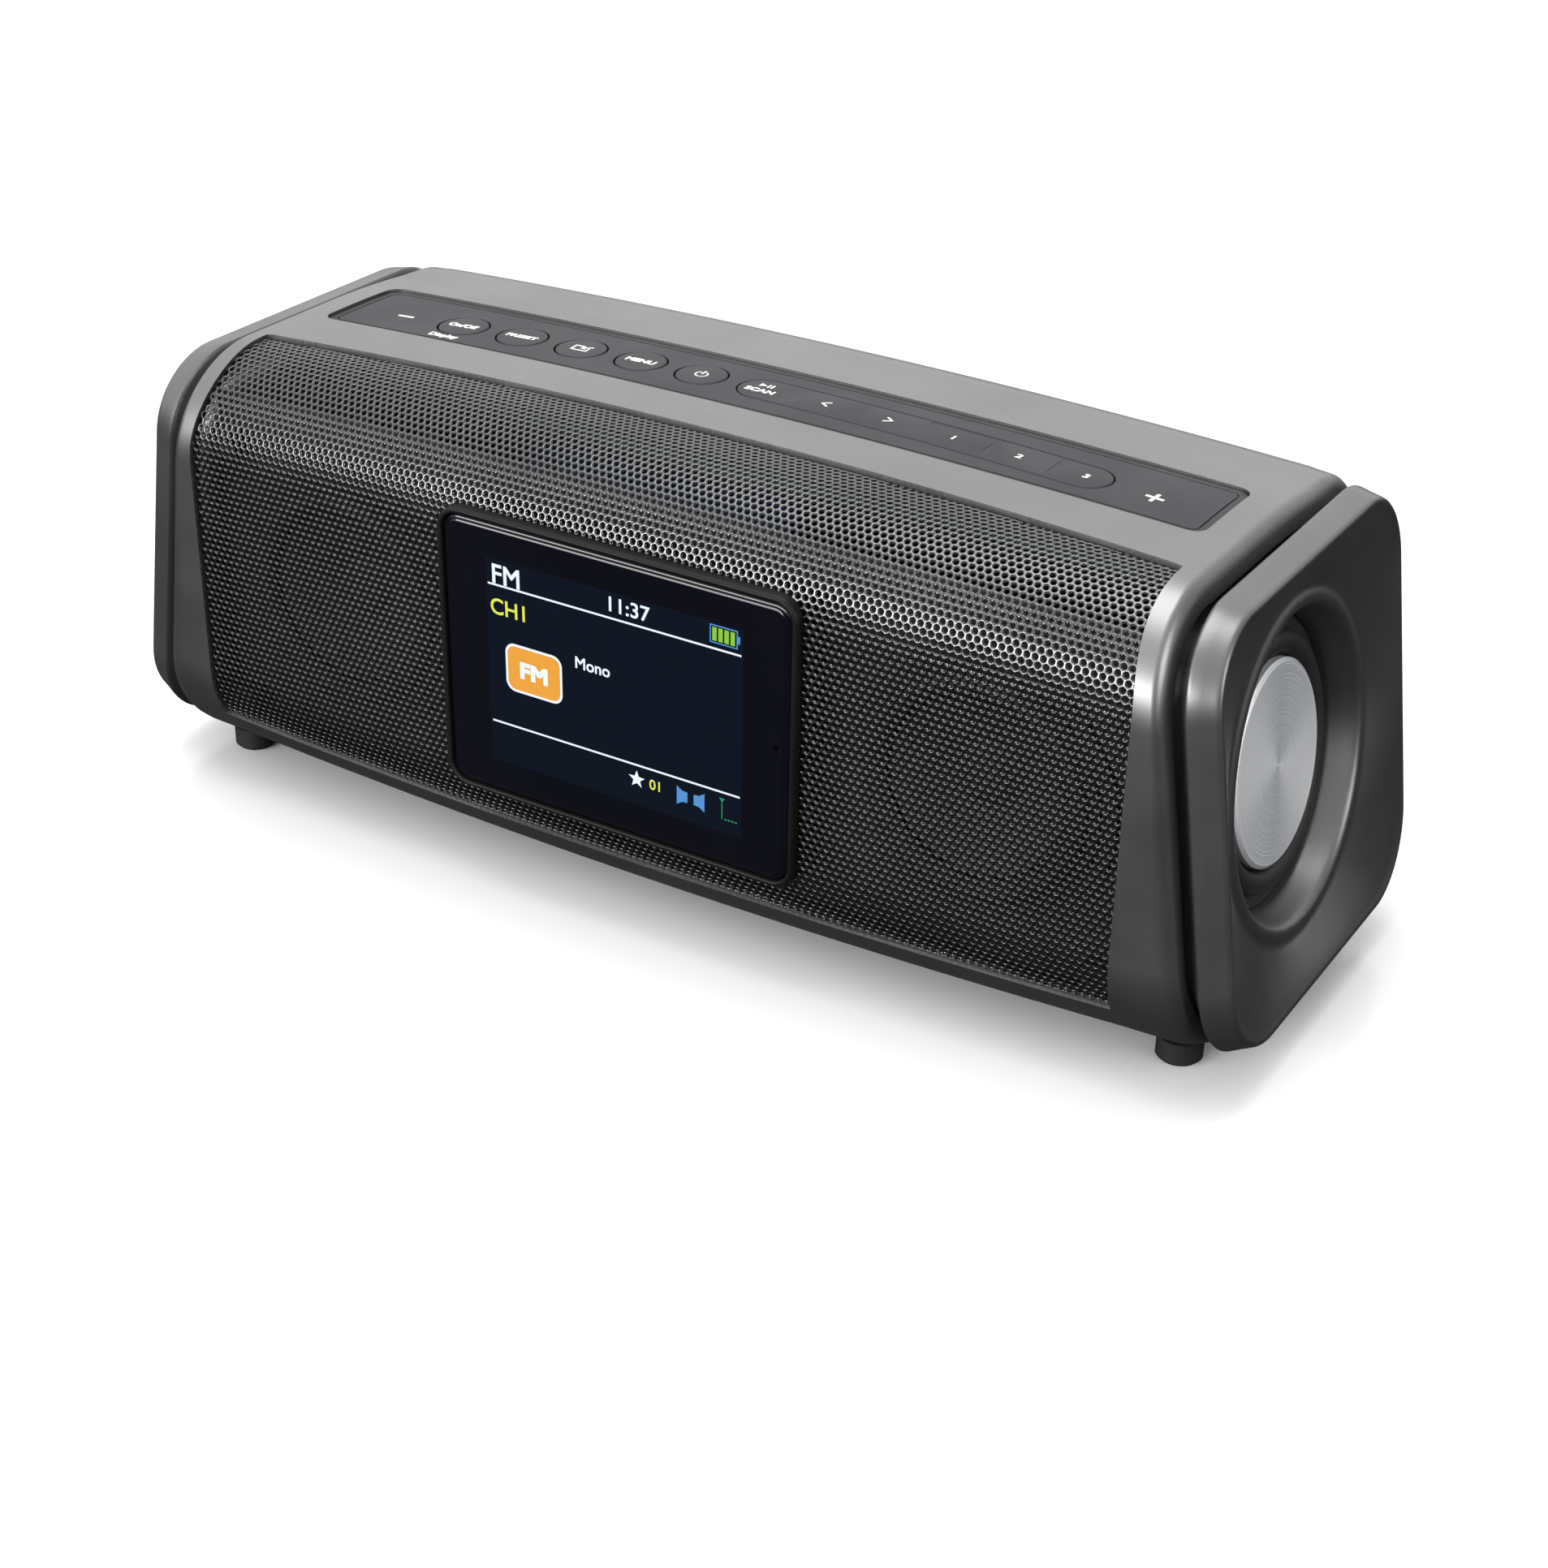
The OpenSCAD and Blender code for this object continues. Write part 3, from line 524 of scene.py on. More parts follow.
# ---- case shells -----------------------------------------
def case_surface(name, section, inner, keep):
    """A closed wall between an outer and an inner grid; keep says which cells are solid."""
    cols = columns(inner)
    outside, inside = ([[place(c, p) for p in section(c[0], c[2] + w, w)] for c in cols] for w in (0, WALL))
    ni, nj = len(outside), len(outside[0])
    n = ni * nj

    def on(i, j):
        return 0 <= i < ni - 1 and 0 <= j < nj - 1 and keep(cols, i, j)

    faces = []
    for i in range(ni - 1):
        for j in range(nj - 1):
            if not on(i, j):
                continue
            a, b, c, d = i * nj + j, (i + 1) * nj + j, (i + 1) * nj + j + 1, i * nj + j + 1
            faces += [(a, d, c, b), (n + a, n + b, n + c, n + d)]
            sides = (((i - 1, j), a, d), ((i, j + 1), d, c), ((i + 1, j), c, b), ((i, j - 1), b, a))
            for beyond, p, q in sides:
                if not on(*beyond):
                    faces.append((q, p, n + p, n + q))
    return clean(mesh_object(name, [p for row in outside + inside for p in row], faces))


def pad_outline(grow, radius, steps=40):
    """The keypad panel's outline, bowed like the case, with rounded corners."""
    half = PAD_HALF + grow
    corner = [math.radians(a) for a in between(0, 90, 6)]

    def edge(x, y_at, sign):
        return (x, y_at(x) + sign * grow)

    out = []
    for side, y_at, sign in ((1, y_pad_rear, 1), (-1, y_pad_front, -1)):
        ends = [side * (half - radius * (1 - math.cos(a))) for a in corner]
        lifts = [radius * (1 - math.sin(a)) for a in corner]
        out += [(x, y_at(x) + sign * (grow - lift)) for x, lift in zip(ends, lifts)]
        straight = between(side * (half - radius), -side * (half - radius), steps)
        out += [edge(x, y_at, sign) for x in straight[1:-1]]
        out += [(-x, y_at(x) + sign * (grow - lift)) for x, lift in zip(ends[::-1], lifts[::-1])]
    return out


def front_frame():
    def keep(cols, i, j):
        mid = (cols[i][0] + cols[i + 1][0]) / 2
        return not (abs(mid) < GRILLE_HALF and SLOT_ROW <= j < LOW_ROW)

    inner = between(-100, 100, 40)
    obj = case_surface("front_frame_shell", front_section, inner, keep)
    cut(obj, prism("opening", pad_outline(0, 3), 85, 110))
    bevel(obj, 0.35, 3, angle=50)
    return dressed(obj, SHELL, "case", "shell_plastic", "front_frame")


PIVOT = (83, 45, TROUGH_Z)
SCREW_X, SCREW_Z = 93, (27, 60)


def bar_y(x, y, z, r, length, steps=40):
    """A closed bar along +Y."""
    angles = [2 * math.pi * k / steps for k in range(steps)]
    loops = [[(x + r * math.cos(a), y + t, z + r * math.sin(a)) for a in angles] for t in (0, length)]
    return skin("bar", loops, ends=True)


def block(x0, y0, z0, x1, y1, z1):
    return prism("block", [(x0, y0), (x1, y0), (x1, y1), (x0, y1)], z0, z1)


def by_pivot(low, high):
    """A block given from the aerial's pivot, x counted towards the left."""
    (px, py, pz), (x0, y0, z0), (x1, y1, z1) = PIVOT, low, high
    return block(px - x1, py + y0, pz + z0, px - x0, py + y1, pz + z1)


def rear_housing():
    def keep(cols, i, j):
        mid = (cols[i][0] + cols[i + 1][0]) / 2
        return not (30 < mid < 80 and j == PORT_ROW)

    inner = between(-100, 85, 37) + between(86.8, TROUGH_END, 5) + [95, 100]
    obj = case_surface("rear_housing_shell", rear_section, inner, keep)
    cut(obj, by_pivot((-14, -8, -6), (7, -3.6, 16.6)), by_pivot((-14, -4, -5), (-6, 2, 5)), operation="UNION")
    notch = turned("notch", [(0, -4), (4.6, -4), (4.6, 26), (0, 26)], 48, False)
    cut(
        obj,
        prism("opening", pad_outline(0, 3), 85, 110),
        moved(notch, Matrix.Translation(PIVOT)),
        by_pivot((-5.4, -4.55, -4.6), (5.6, 9, 4.6)),
        *[bar_y(s * SCREW_X, 30, z, 3.1, 30) for s in (-1, 1) for z in SCREW_Z],
    )
    bevel(obj, 0.3, 2, angle=50)
    profile = [(3.1, 0.3), (4.4, 0.3), (4.4, -30), (1.7, -30), (1.7, -28), (3.1, -28)]
    rearwards = Matrix.Rotation(-math.pi / 2, 4, "X")
    wells = [
        moved(turned("well", profile, 40), Matrix.Translation((s * SCREW_X, 46.2, z)) @ rearwards)
        for s in (-1, 1)
        for z in SCREW_Z
    ]
    dressed(joined("screw_wells", wells), BLACK, "case", "shell_plastic", "rear_housing")
    return dressed(obj, SHELL, "case", "shell_plastic", "rear_housing")


# ---- perforated grille -----------------------------------
PITCH = 1.57
HOLE_R = 0.56
LIP_R = 0.69


def grille_path(x):
    """The grille's section at x: front y, top and bottom z, the two bend radii, the slot edge's y, and the
    lengths of the flat top and the flat front.
    """
    d = GRILLE_SINK
    rt, rl = R_FRONT_TOP - d, R_FRONT_LOW - d
    yf = -FRONT_REACH + FRONT_BOW * bow(x) + d
    zt = TOP_HEIGHT - TOP_ARCH * bow(x) - d
    zb = BOTTOM_MID + BOTTOM_ARCH * bow(x) + d
    y0 = y_slot(x) - SLOT_GAP
    flat_top = y0 - (yf + rt)
    front = (zt - rt) - (zb + rl)
    return yf, zt, zb, rt, rl, y0, flat_top, front


def grille_point(x, s, sink):
    """The point at x, s millimetres past the top of the bend (s < 0 on top), sink below the face."""
    yf, zt, zb, rt, rl, _, _, front = grille_path(x)
    if s < 0:
        return (x, yf + rt - s, zt - sink)
    turn = rt * math.pi / 2
    if s < turn:
        a = s / rt
        r = rt - sink
        return (x, yf + rt - r * math.sin(a), zt - rt + r * math.cos(a))
    s -= turn
    if s < front:
        return (x, yf + sink, zt - rt - s)
    a = (s - front) / rl
    r = rl - sink
    return (x, yf + rl - r * math.cos(a), zb + rl - r * math.sin(a))


def grille_limits(x):
    """Start and end of the sheet at x, in s."""
    _, _, _, rt, rl, _, flat_top, front = grille_path(x)
    return -flat_top, rt * math.pi / 2 + front + rl * math.radians(GRILLE_LOW)


def clip(polygon, normal, offset):
    """The part of a flat polygon where normal . p <= offset; points are (u, v, sink)."""
    out = []
    for k, p in enumerate(polygon):
        q = polygon[(k + 1) % len(polygon)]
        dp = normal[0] * p[0] + normal[1] * p[1] - offset
        dq = normal[0] * q[0] + normal[1] * q[1] - offset
        if dp <= 0:
            out.append(p)
        if (dp < 0 < dq) or (dq < 0 < dp):
            t = dp / (dp - dq)
            out.append(tuple(a + (b - a) * t for a, b in zip(p, q)))
    return out


def grille():
    """A sheet of hexagonal cells, each with a hole whose lip is rolled inwards."""
    row = PITCH * math.sqrt(3) / 2
    corners = [math.radians(30 + 60 * k) for k in range(6)]
    hexagon = [(PITCH / math.sqrt(3) * math.cos(a), PITCH / math.sqrt(3) * math.sin(a)) for a in corners]
    outer = []
    for k in range(6):
        a, b = hexagon[k], hexagon[(k + 1) % 6]
        outer += [(*a, 0), ((a[0] + b[0]) / 2, (a[1] + b[1]) / 2, 0)]
    around = [math.radians(30 + 30 * k) for k in range(12)]
    rings = [outer]
    for r, sink in ((LIP_R, 0.0), (HOLE_R + 0.045, 0.05), (HOLE_R, 0.16)):
        rings.append([(r * math.cos(a), r * math.sin(a), sink) for a in around])
    cell = []
    for a, b in zip(rings, rings[1:]):
        for k in range(12):
            n = (k + 1) % 12
            cell.append([a[k], a[n], b[n], b[k]])

    half = GRILLE_HALF - GRILLE_GAP
    window_w, window_h, window_r = RIM_W / 2 + 0.25, RIM_H / 2 + 0.25, RIM_R
    _, zt, _, rt, *_ = grille_path(0)
    window_mid = rt * math.pi / 2 + (zt - rt) - DISPLAY_Z

    def window_depth(u, v):
        """How far (u, v) lies inside the display's rounded cut-out; negative is outside."""
        du = abs(u) - (window_w - window_r)
        dv = abs(v - window_mid) - (window_h - window_r)
        if du > 0 and dv > 0:
            return window_r - math.hypot(du, dv)
        return window_r - max(du, dv)

    def window_normal(u, v):
        du = abs(u) - (window_w - window_r)
        dv = abs(v - window_mid) - (window_h - window_r)
        su, sv = math.copysign(1, u), math.copysign(1, v - window_mid)
        if du > 0 and dv > 0:
            length = math.hypot(du, dv)
            return (su * du / length, sv * dv / length)
        return (su, 0) if du > dv else (0, sv)

    points, faces, seen = [], [], {}

    def add(p):
        key = (round(p[0], 4), round(p[1], 4), round(p[2], 3))
        if key not in seen:
            seen[key] = len(points)
            points.append(grille_point(*p))
        return seen[key]

    low_s = min(grille_limits(0)[0], grille_limits(half)[0])
    high_s = max(grille_limits(0)[1], grille_limits(half)[1])
    n_rows = int((high_s - low_s) / row) + 3
    n_cols = int(half / PITCH) + 2
    for j in range(-1, n_rows):
        v = low_s + j * row
        shift = PITCH / 2 if j % 2 else 0
        for i in range(-n_cols, n_cols + 1):
            u = i * PITCH + shift
            if abs(u) > half + PITCH:
                continue
            low, high = grille_limits(min(abs(u), half))
            depth = window_depth(u, v)
            if depth > PITCH or v < low - PITCH or v > high + PITCH:
                continue
            z = grille_point(u, min(max(v, low), high), 0)[2]
            side = edge_x(z) - GRILLE_GAP
            near = []
            if abs(u) > side - PITCH:
                near.append(((math.copysign(1, u), 0), side))
            if v < low + PITCH:
                beyond, before = grille_limits(abs(u) + 0.5), grille_limits(max(abs(u) - 0.5, 0))
                tilt = (beyond[0] - before[0]) * math.copysign(1, u)
                near.append(((tilt, -1), tilt * u - low))
            if v > high - PITCH:
                near.append(((0, 1), high))
            if depth > -PITCH:
                n = window_normal(u, v)
                at = n[0] * u + n[1] * v + depth
                near.append(((-n[0], -n[1]), -at))
            for polygon in cell:
                p = [(a + u, b + v, c) for a, b, c in polygon]
                for normal, offset in near:
                    if len(p) > 2:
                        p = clip(p, normal, offset)
                if len(p) > 2:
                    index = [add(q) for q in p]
                    index = [q for k, q in enumerate(index) if q != index[k - 1]]
                    if len(index) > 2:
                        faces.append(index)
    obj = mesh_object("grille_sheet", points, faces, angle=180)
    bm = bmesh.new()
    bm.from_mesh(obj.data)
    bmesh.ops.reverse_faces(bm, faces=bm.faces)
    bm.to_mesh(obj.data)
    bm.free()
    m = obj.modifiers.new("thick", "SOLIDIFY")
    m.thickness = GRILLE_THICK * MM
    m.offset = -1
    apply_modifiers(obj, angle=50)
    return dressed(obj, GRILLE, "case", "grille_metal", "grille")


# ---- display ---------------------------------------------
WINDOW_FRONT = -49.1


def front_loop(w, h, r, y):
    return [(x, y, DISPLAY_Z + z) for x, z in rounded_outline(w, h, r)]


def inset_loop(d, y):
    return front_loop(RIM_W - 2 * d, RIM_H - 2 * d, max(RIM_R - d, 0.6), y)


def display():
    rim = [
        (0, -43.5), (0, -48.5), (0.06, -48.9), (0.25, -49.22), (0.5, -49.37), (0.75, -49.4),
        (1.0, -49.35), (1.18, -49.2), (1.22, -48.9), (1.22, -43.5),
    ]
    obj = skin("display_bezel", [inset_loop(d, y) for d, y in rim], closed=True, angle=60)
    dressed(obj, BEZEL, "case", "black_plastic", "display_rim")
    glass = [
        (1.3, -47.4), (1.3, -48.1), (1.38, -48.35), (1.6, -48.58), (1.95, -48.76), (2.35, -48.88),
        (2.5, -48.9), (2.62, -48.98), (2.85, -49.06), (3.15, WINDOW_FRONT),
    ]
    obj = skin("display_cover", [inset_loop(d, y) for d, y in glass], ends=True, angle=60)
    cut(obj, bar_y(36.2, WINDOW_FRONT - 1, DISPLAY_Z - 0.5, 0.75, 1.8, 24))
    dressed(obj, GLOSS, "case", "display_glass", "display_window")


SCREEN_Y = WINDOW_FRONT - 0.01


def plate(name, outline, material, lift=0.02):
    """A thin flat shape on the screen from (x, z) points measured from the screen's middle."""
    y = SCREEN_Y - lift
    loops = [[(x, at, DISPLAY_Z + z) for x, z in outline] for at in (y, y + 0.015)]
    obj = skin(name, loops, ends=True)
    return dressed(obj, material, "case", "lcd_glass")


def words(name, text, size, bold=0.0, stretch=1.0, width=None):
    """Lettering as a thin mesh in the XY plane, centred on the origin, size its capital height.

    bold thickens the strokes with shifted copies, because growing the outline folds the M over.
    width, where it is given, sets how wide the finished word is."""
    curve = bpy.data.curves.new(name, "FONT")
    curve.body = text
    curve.size = size * MM * 1.37
    curve.extrude = 0.008 * MM
    curve.align_x = "CENTER"
    curve.align_y = "CENTER"
    text_object = bpy.data.objects.new(name, curve)
    bpy.context.scene.collection.objects.link(text_object)
    bpy.context.view_layer.update()
    mesh = bpy.data.meshes.new_from_object(text_object)
    bpy.data.objects.remove(text_object)
    bpy.data.curves.remove(curve)
    if width is not None:
        across = [v.co.x for v in mesh.vertices]
        stretch = (width - 2 * bold) * MM / (max(across) - min(across))
    mesh.transform(Matrix.Diagonal((stretch, 1, 1, 1)))
    co = np.array([v.co for v in mesh.vertices])
    middle = (co.min(0) + co.max(0)) / 2
    mesh.transform(Matrix.Translation([-middle[0], -middle[1], 0]))
    copies = []
    for k, (dx, dy) in enumerate([(0, 0)] + ([(-1, -1), (1, -1), (1, 1), (-1, 1)] if bold else [])):
        copy = bpy.data.objects.new(name, mesh.copy())
        copy.data.transform(Matrix.Translation((dx * bold * MM, dy * bold * MM, k * 0.0006 * MM)))
        bpy.context.scene.collection.objects.link(copy)
        copies.append(copy)
    bpy.data.meshes.remove(mesh)
    return joined(name, copies)


def screen_words(name, text, x, z, size, material, bold=0.0, stretch=1.0, lift=0.03):
    obj = words(name, text, size, bold=bold, stretch=stretch)
    moved(obj, Matrix.Translation((x, SCREEN_Y - lift, DISPLAY_Z + z)) @ Matrix.Rotation(math.pi / 2, 4, "X"))
    return dressed(obj, material, "case", "lcd_glass")


def box_outline(x0, z0, x1, z1):
    return [(x0, z0), (x1, z0), (x1, z1), (x0, z1)]


def star_outline(x, z, r):
    return [
        (x + k * math.sin(a), z + k * math.cos(a))
        for k, a in [((r if i % 2 == 0 else 0.42 * r), math.pi * i / 5) for i in range(10)]
    ]


def shifted(outline, x, z):
    return [(a + x, b + z) for a, b in outline]


def screen():
    plate("screen_picture", box_outline(-28.8, -21.6, 28.8, 21.6), SCREEN, lift=0.0)
    screen_words("screen_mode", "FM", -24.1, 18.6, 4.1, WHITE, bold=0.08)
    screen_words("screen_time", "11:37", 4.0, 19.2, 3.1, WHITE, bold=0.05, stretch=1.05)
    screen_words("screen_channel", "CH1", -23.9, 11.8, 3.4, YELLOW, bold=0.05)
    screen_words("screen_sound", "Mono", -4.5, 5.0, 2.5, WHITE, bold=0.05)
    screen_words("screen_preset", "01", 9.4, -16.2, 2.2, YELLOW, bold=0.03)
    plate("screen_line_top", box_outline(-28.4, 16.1, 28.4, 16.5), WHITE)
    plate("screen_line_low", box_outline(-28.4, -13.2, 28.4, -12.8), WHITE)
    plate("screen_badge_edge", shifted(rounded_outline(13.2, 10.2, 2.2), -18.2, -0.2), WHITE)
    plate("screen_badge", shifted(rounded_outline(12.2, 9.2, 1.8), -18.2, -0.2), ORANGE, lift=0.03)
    screen_words("screen_badge_word", "FM", -18.2, -0.3, 3.3, WHITE, bold=0.24, stretch=1.2, lift=0.05)
    plate("screen_star", star_outline(5.3, -16.1, 1.9), WHITE)
    plate("screen_battery_case", box_outline(21.6, 17.4, 27.6, 21.1), BLUE)
    plate("screen_battery_inside", box_outline(21.85, 17.65, 27.35, 20.85), SCREEN, lift=0.03)
    plate("screen_battery_tip", box_outline(27.6, 18.5, 28.1, 20.0), BLUE)
    for k in range(4):
        x = 22.15 + 1.3 * k
        plate(f"screen_battery_bar_{k + 1}", box_outline(x, 17.9, x + 0.95, 20.6), GREEN, lift=0.04)
    wing = [(14.4, -14.6), (15.6, -15.4), (16.8, -15.5), (16.8, -17.7), (15.6, -17.8), (14.4, -18.6)]
    plate("screen_sound_left", wing, BLUE)
    plate("screen_sound_right", [(35.0 - x, z) for x, z in wing[::-1]], BLUE)
    plate("screen_mast", box_outline(24.4, -18.8, 24.6, -14.6), DIM_GREEN)
    plate("screen_mast_head", [(23.9, -14.3), (24.5, -15.3), (25.1, -14.3)], DIM_GREEN)
    for k in range(4):
        x = 25.1 + 0.75 * k
        plate(f"screen_signal_{k + 1}", box_outline(x, -18.8, x + 0.5, -18.5), DIM_GREEN)


# ---- keypad ----------------------------------------------
KEY_PITCH = 14.16
KEY_D = 10.6
PAD_SINK = 0.6
KEYS = [
    "key_minus", "key_display", "key_preset", "key_source", "key_menu", "key_power", "key_play",
    "key_previous", "key_next", "key_1", "key_2", "key_3", "key_plus",
]
PILL = (6, 11)


def key_x(i):
    return (i - 6) * KEY_PITCH


def key_y(x):
    return 3.3 - 3.3 * (x / 85) ** 2


def pad_z(x, y):
    return TOP_HEIGHT - TOP_ARCH * bow(x) - PAD_SINK - fall(y)


def key_tilt(x):
    return math.atan(2 * TOP_ARCH * x / BOW_REF**2)


def at_point(x, y, turn=0.0):
    """Matrix that stands a piece on the keypad surface at (x, y), in millimetres."""
    tilt = Matrix.Rotation(key_tilt(x), 4, "Y")
    return Matrix.Translation((x, y, pad_z(x, y))) @ tilt @ Matrix.Rotation(turn, 4, "Z")


def at_key(i, turn=0.0):
    return at_point(key_x(i), key_y(key_x(i)), turn)


def pill_turn(i):
    x = key_x(i)
    return math.atan2(key_y(x + 1) - key_y(x - 1), 2)


def pill_outline(grow, steps=10):
    """The long key's outline, bowed along the row of keys."""
    first, last = key_x(PILL[0]), key_x(PILL[1])
    r = (KEY_D - 0.4) / 2 + grow
    xs = between(first, last, 24)
    up = [(x, key_y(x) + r) for x in xs][::-1]
    down = [(x, key_y(x) - r) for x in xs]
    left = [(first + r * math.cos(a), key_y(first) + r * math.sin(a))
            for a in [math.pi / 2 + math.pi * k / steps for k in range(1, steps)]]
    right = [(last + r * math.cos(a), key_y(last) + r * math.sin(a))
             for a in [-math.pi / 2 + math.pi * k / steps for k in range(1, steps)]]
    return up + left + down + right


def draped(name, outline, low, high):
    """A prism on the keypad surface whose ends follow the surface at low and high above it."""
    return skin(name, [[(x, y, pad_z(x, y) + h) for x, y in outline] for h in (low, high)], ends=True)


def ring_draped(name, outer, inner, low, high):
    """A closed ring between two outlines with equal numbers of points."""
    levels = [(outer, low), (outer, high), (inner, high), (inner, low)]
    return skin(name, [[(x, y, pad_z(x, y) + h) for x, y in line] for line, h in levels], closed=True)


def keypad_mat():
    xs = between(-PAD_HALF - 1, PAD_HALF + 1, 70)
    ys = between(-13, 17, 15)
    sheet = mesh_object(
        "keypad_mat_skin", [(x, y, pad_z(x, y)) for x in xs for y in ys],
        [f[::-1] for f in grid_faces(len(xs), len(ys))],
    )
    solidify(sheet, 2.2)
    cut(sheet, prism("outline", pad_outline(-0.3, 2.8), 80, 110), operation="INTERSECT")
    bevel(sheet, 0.45, 3, angle=50)
    apply_modifiers(sheet, angle=50)
    cut(sheet, ring_draped("groove", pad_outline(-1.75, 1.7), pad_outline(-2.05, 1.5), -0.3, 1))
    for i in (*range(PILL[0]), 12):
        r = 5.32 if i in (0, 12) else 5.6
        hole = turned("hole", [(0, -3), (r, -3), (r, 3), (0, 3)], 48, False)
        cut(sheet, moved(hole, at_key(i)))
    cut(sheet, draped("hole", pill_outline(0.3), -3, 3))
    bevel(sheet, 0.12, 2, angle=50)
    return dressed(sheet, PAD, "case", "key_rubber", "keypad_mat")


def key_body(i):
    """A round key, or one sixth of the long key."""
    edge_keys = i in (0, 12)
    if i < PILL[0] or i == 12:
        r = KEY_D / 2 - (0.0 if edge_keys else 0.1)
        top = 0.0 if edge_keys else 0.12
        soft = 0.02 if edge_keys else 0.35
        profile = [(0, -1.8), (r, -1.8), (r, top - soft)]
        profile += [
            (r - soft * (1 - math.cos(a)), top - soft * (1 - math.sin(a)))
            for a in [math.radians(k) for k in (20, 40, 60, 80)]
        ]
        profile += [(r - soft, top), (0, top)]
        return moved(turned(KEYS[i] + "_cap", profile, 64, False, angle=50), at_key(i))
    solid = draped(KEYS[i] + "_cap", pill_outline(-0.02), -1.8, 0.12)
    solid = bevel(solid, 0.3, 3, angle=50)
    apply_modifiers(solid)
    gap = 0.01
    low = -200 if i == PILL[0] else key_x(i) - KEY_PITCH / 2 + gap
    high = 200 if i == PILL[1] else key_x(i) + KEY_PITCH / 2 - gap
    cut(solid, block(low, -30, 80, high, 40, 110), operation="INTERSECT")
    return solid


def print_on(i, piece, dx=0.0, dy=0.0, height=0.135, name=None):
    """Lays a flat print on a key, or on the mat beside it, and lets it ride with the key."""
    x = key_x(i)
    moved(piece, at_point(x + dx, key_y(x) + dy, pill_turn(i)) @ Matrix.Translation((0, 0, height)))
    if name:
        piece.name = name
    return dressed(piece, PRINT, "case" if name else KEYS[i], "key_rubber")


def flat(name, outline, thick=0.016):
    return prism(name, outline, -thick / 2, thick / 2)


def bars(name, outlines):
    return joined(name, [flat("bar", o) for o in outlines])


def stroke(points, width):
    """Outlines of straight strokes between points."""
    out = []
    for (x0, y0), (x1, y1) in zip(points, points[1:]):
        length = math.hypot(x1 - x0, y1 - y0)
        nx, ny = -(y1 - y0) / length * width / 2, (x1 - x0) / length * width / 2
        ex, ey = (x1 - x0) / length * width / 3, (y1 - y0) / length * width / 3
        out.append([(x0 - ex - nx, y0 - ey - ny), (x1 + ex - nx, y1 + ey - ny),
                    (x1 + ex + nx, y1 + ey + ny), (x0 - ex + nx, y0 - ey + ny)])
    return out


def ring_strokes(r, width, start, end, steps=18):
    angles = [math.radians(a) for a in between(start, end, steps)]
    return stroke([(r * math.cos(a), r * math.sin(a)) for a in angles], width)


def key_prints():
    print_on(0, bars("print_minus", stroke([(-1.6, 0), (1.6, 0)], 0.75)), height=0.008)
    plus = stroke([(-1.6, 0), (1.6, 0)], 0.75) + stroke([(0, -1.6), (0, 1.6)], 0.75)
    print_on(12, bars("print_plus", plus), height=0.008)
    print_on(1, words("print_on_off", "On/Off", 1.75, bold=0.1, width=6.8))
    print_on(1, words("print_display", "Display", 1.75, bold=0.09, width=6.8), dy=-6.9, height=0.008,
             name="mat_print_display")
    print_on(2, words("print_preset", "PRESET", 1.5, bold=0.1, width=7.3))
    print_on(4, words("print_menu", "MENU", 1.7, bold=0.11, width=6.7))
    frame_lines = stroke([(0.3, 1.15), (-1.7, 1.15), (-1.7, -1.15), (1.7, -1.15), (1.7, 0.2)], 0.42)
    arrow = stroke([(2.1, 1.3), (0.0, 0.0), (0.9, -0.1)], 0.42) + stroke([(0.0, 0.0), (0.1, 0.9)], 0.42)
    print_on(3, bars("print_source", frame_lines + arrow))
    power = ring_strokes(1.25, 0.4, 125, 415) + stroke([(0, 0.2), (0, 1.7)], 0.4)
    print_on(5, bars("print_power", power))
    play = [[(-1.5, 0.75), (-1.5, 2.35), (0.1, 1.55)]]
    play += stroke([(0.5, 0.85), (0.5, 2.25)], 0.42) + stroke([(1.3, 0.85), (1.3, 2.25)], 0.42)
    print_on(6, bars("print_play", play))
    print_on(6, words("print_scan", "SCAN", 1.65, bold=0.1, width=6.5), dy=-1.2)
    print_on(7, bars("print_previous", stroke([(0.75, 1.0), (-0.75, 0), (0.75, -1.0)], 0.42)))
    print_on(8, bars("print_next", stroke([(-0.75, 1.0), (0.75, 0), (-0.75, -1.0)], 0.42)))
    for k, i in enumerate((9, 10, 11)):
        print_on(i, words(f"print_{k + 1}", str(k + 1), 1.75, bold=0.08, stretch=1.15))


def keypad():
    keypad_mat()
    for i, name in enumerate(KEYS):
        dressed(key_body(i), PAD, name, "key_rubber", name)
    key_prints()


# ---- ends ------------------------------------------------
CAP_MID = (122, 1.4, 50.4)
CAP_DEPTH, CAP_TALL = 85.8, 83.6
CAP_R = (15, 15, 17, 16)
CAP_LEAN = math.atan(END_SLANT)
LIP_CIRCLE = 31.4
DISC_R = 19.8
DISC_SINK = 8.4


def at_end(side):
    """Local z points out of the end, x to the rear and y up the leaning face, in millimetres."""
    turn = Matrix.Rotation(math.pi / 2, 4, "Z") @ Matrix.Rotation(math.pi / 2, 4, "X")
    m = Matrix.Translation(CAP_MID) @ Matrix.Rotation(-CAP_LEAN, 4, "Y") @ turn
    return (Matrix.Diagonal((-1, 1, 1, 1)) if side < 0 else Matrix.Identity(4)) @ m


CAP_CORNERS = ((1, 1), (-1, 1), (-1, -1), (1, -1))
CORNER_STEPS = 16
SIDE_STEPS = 8


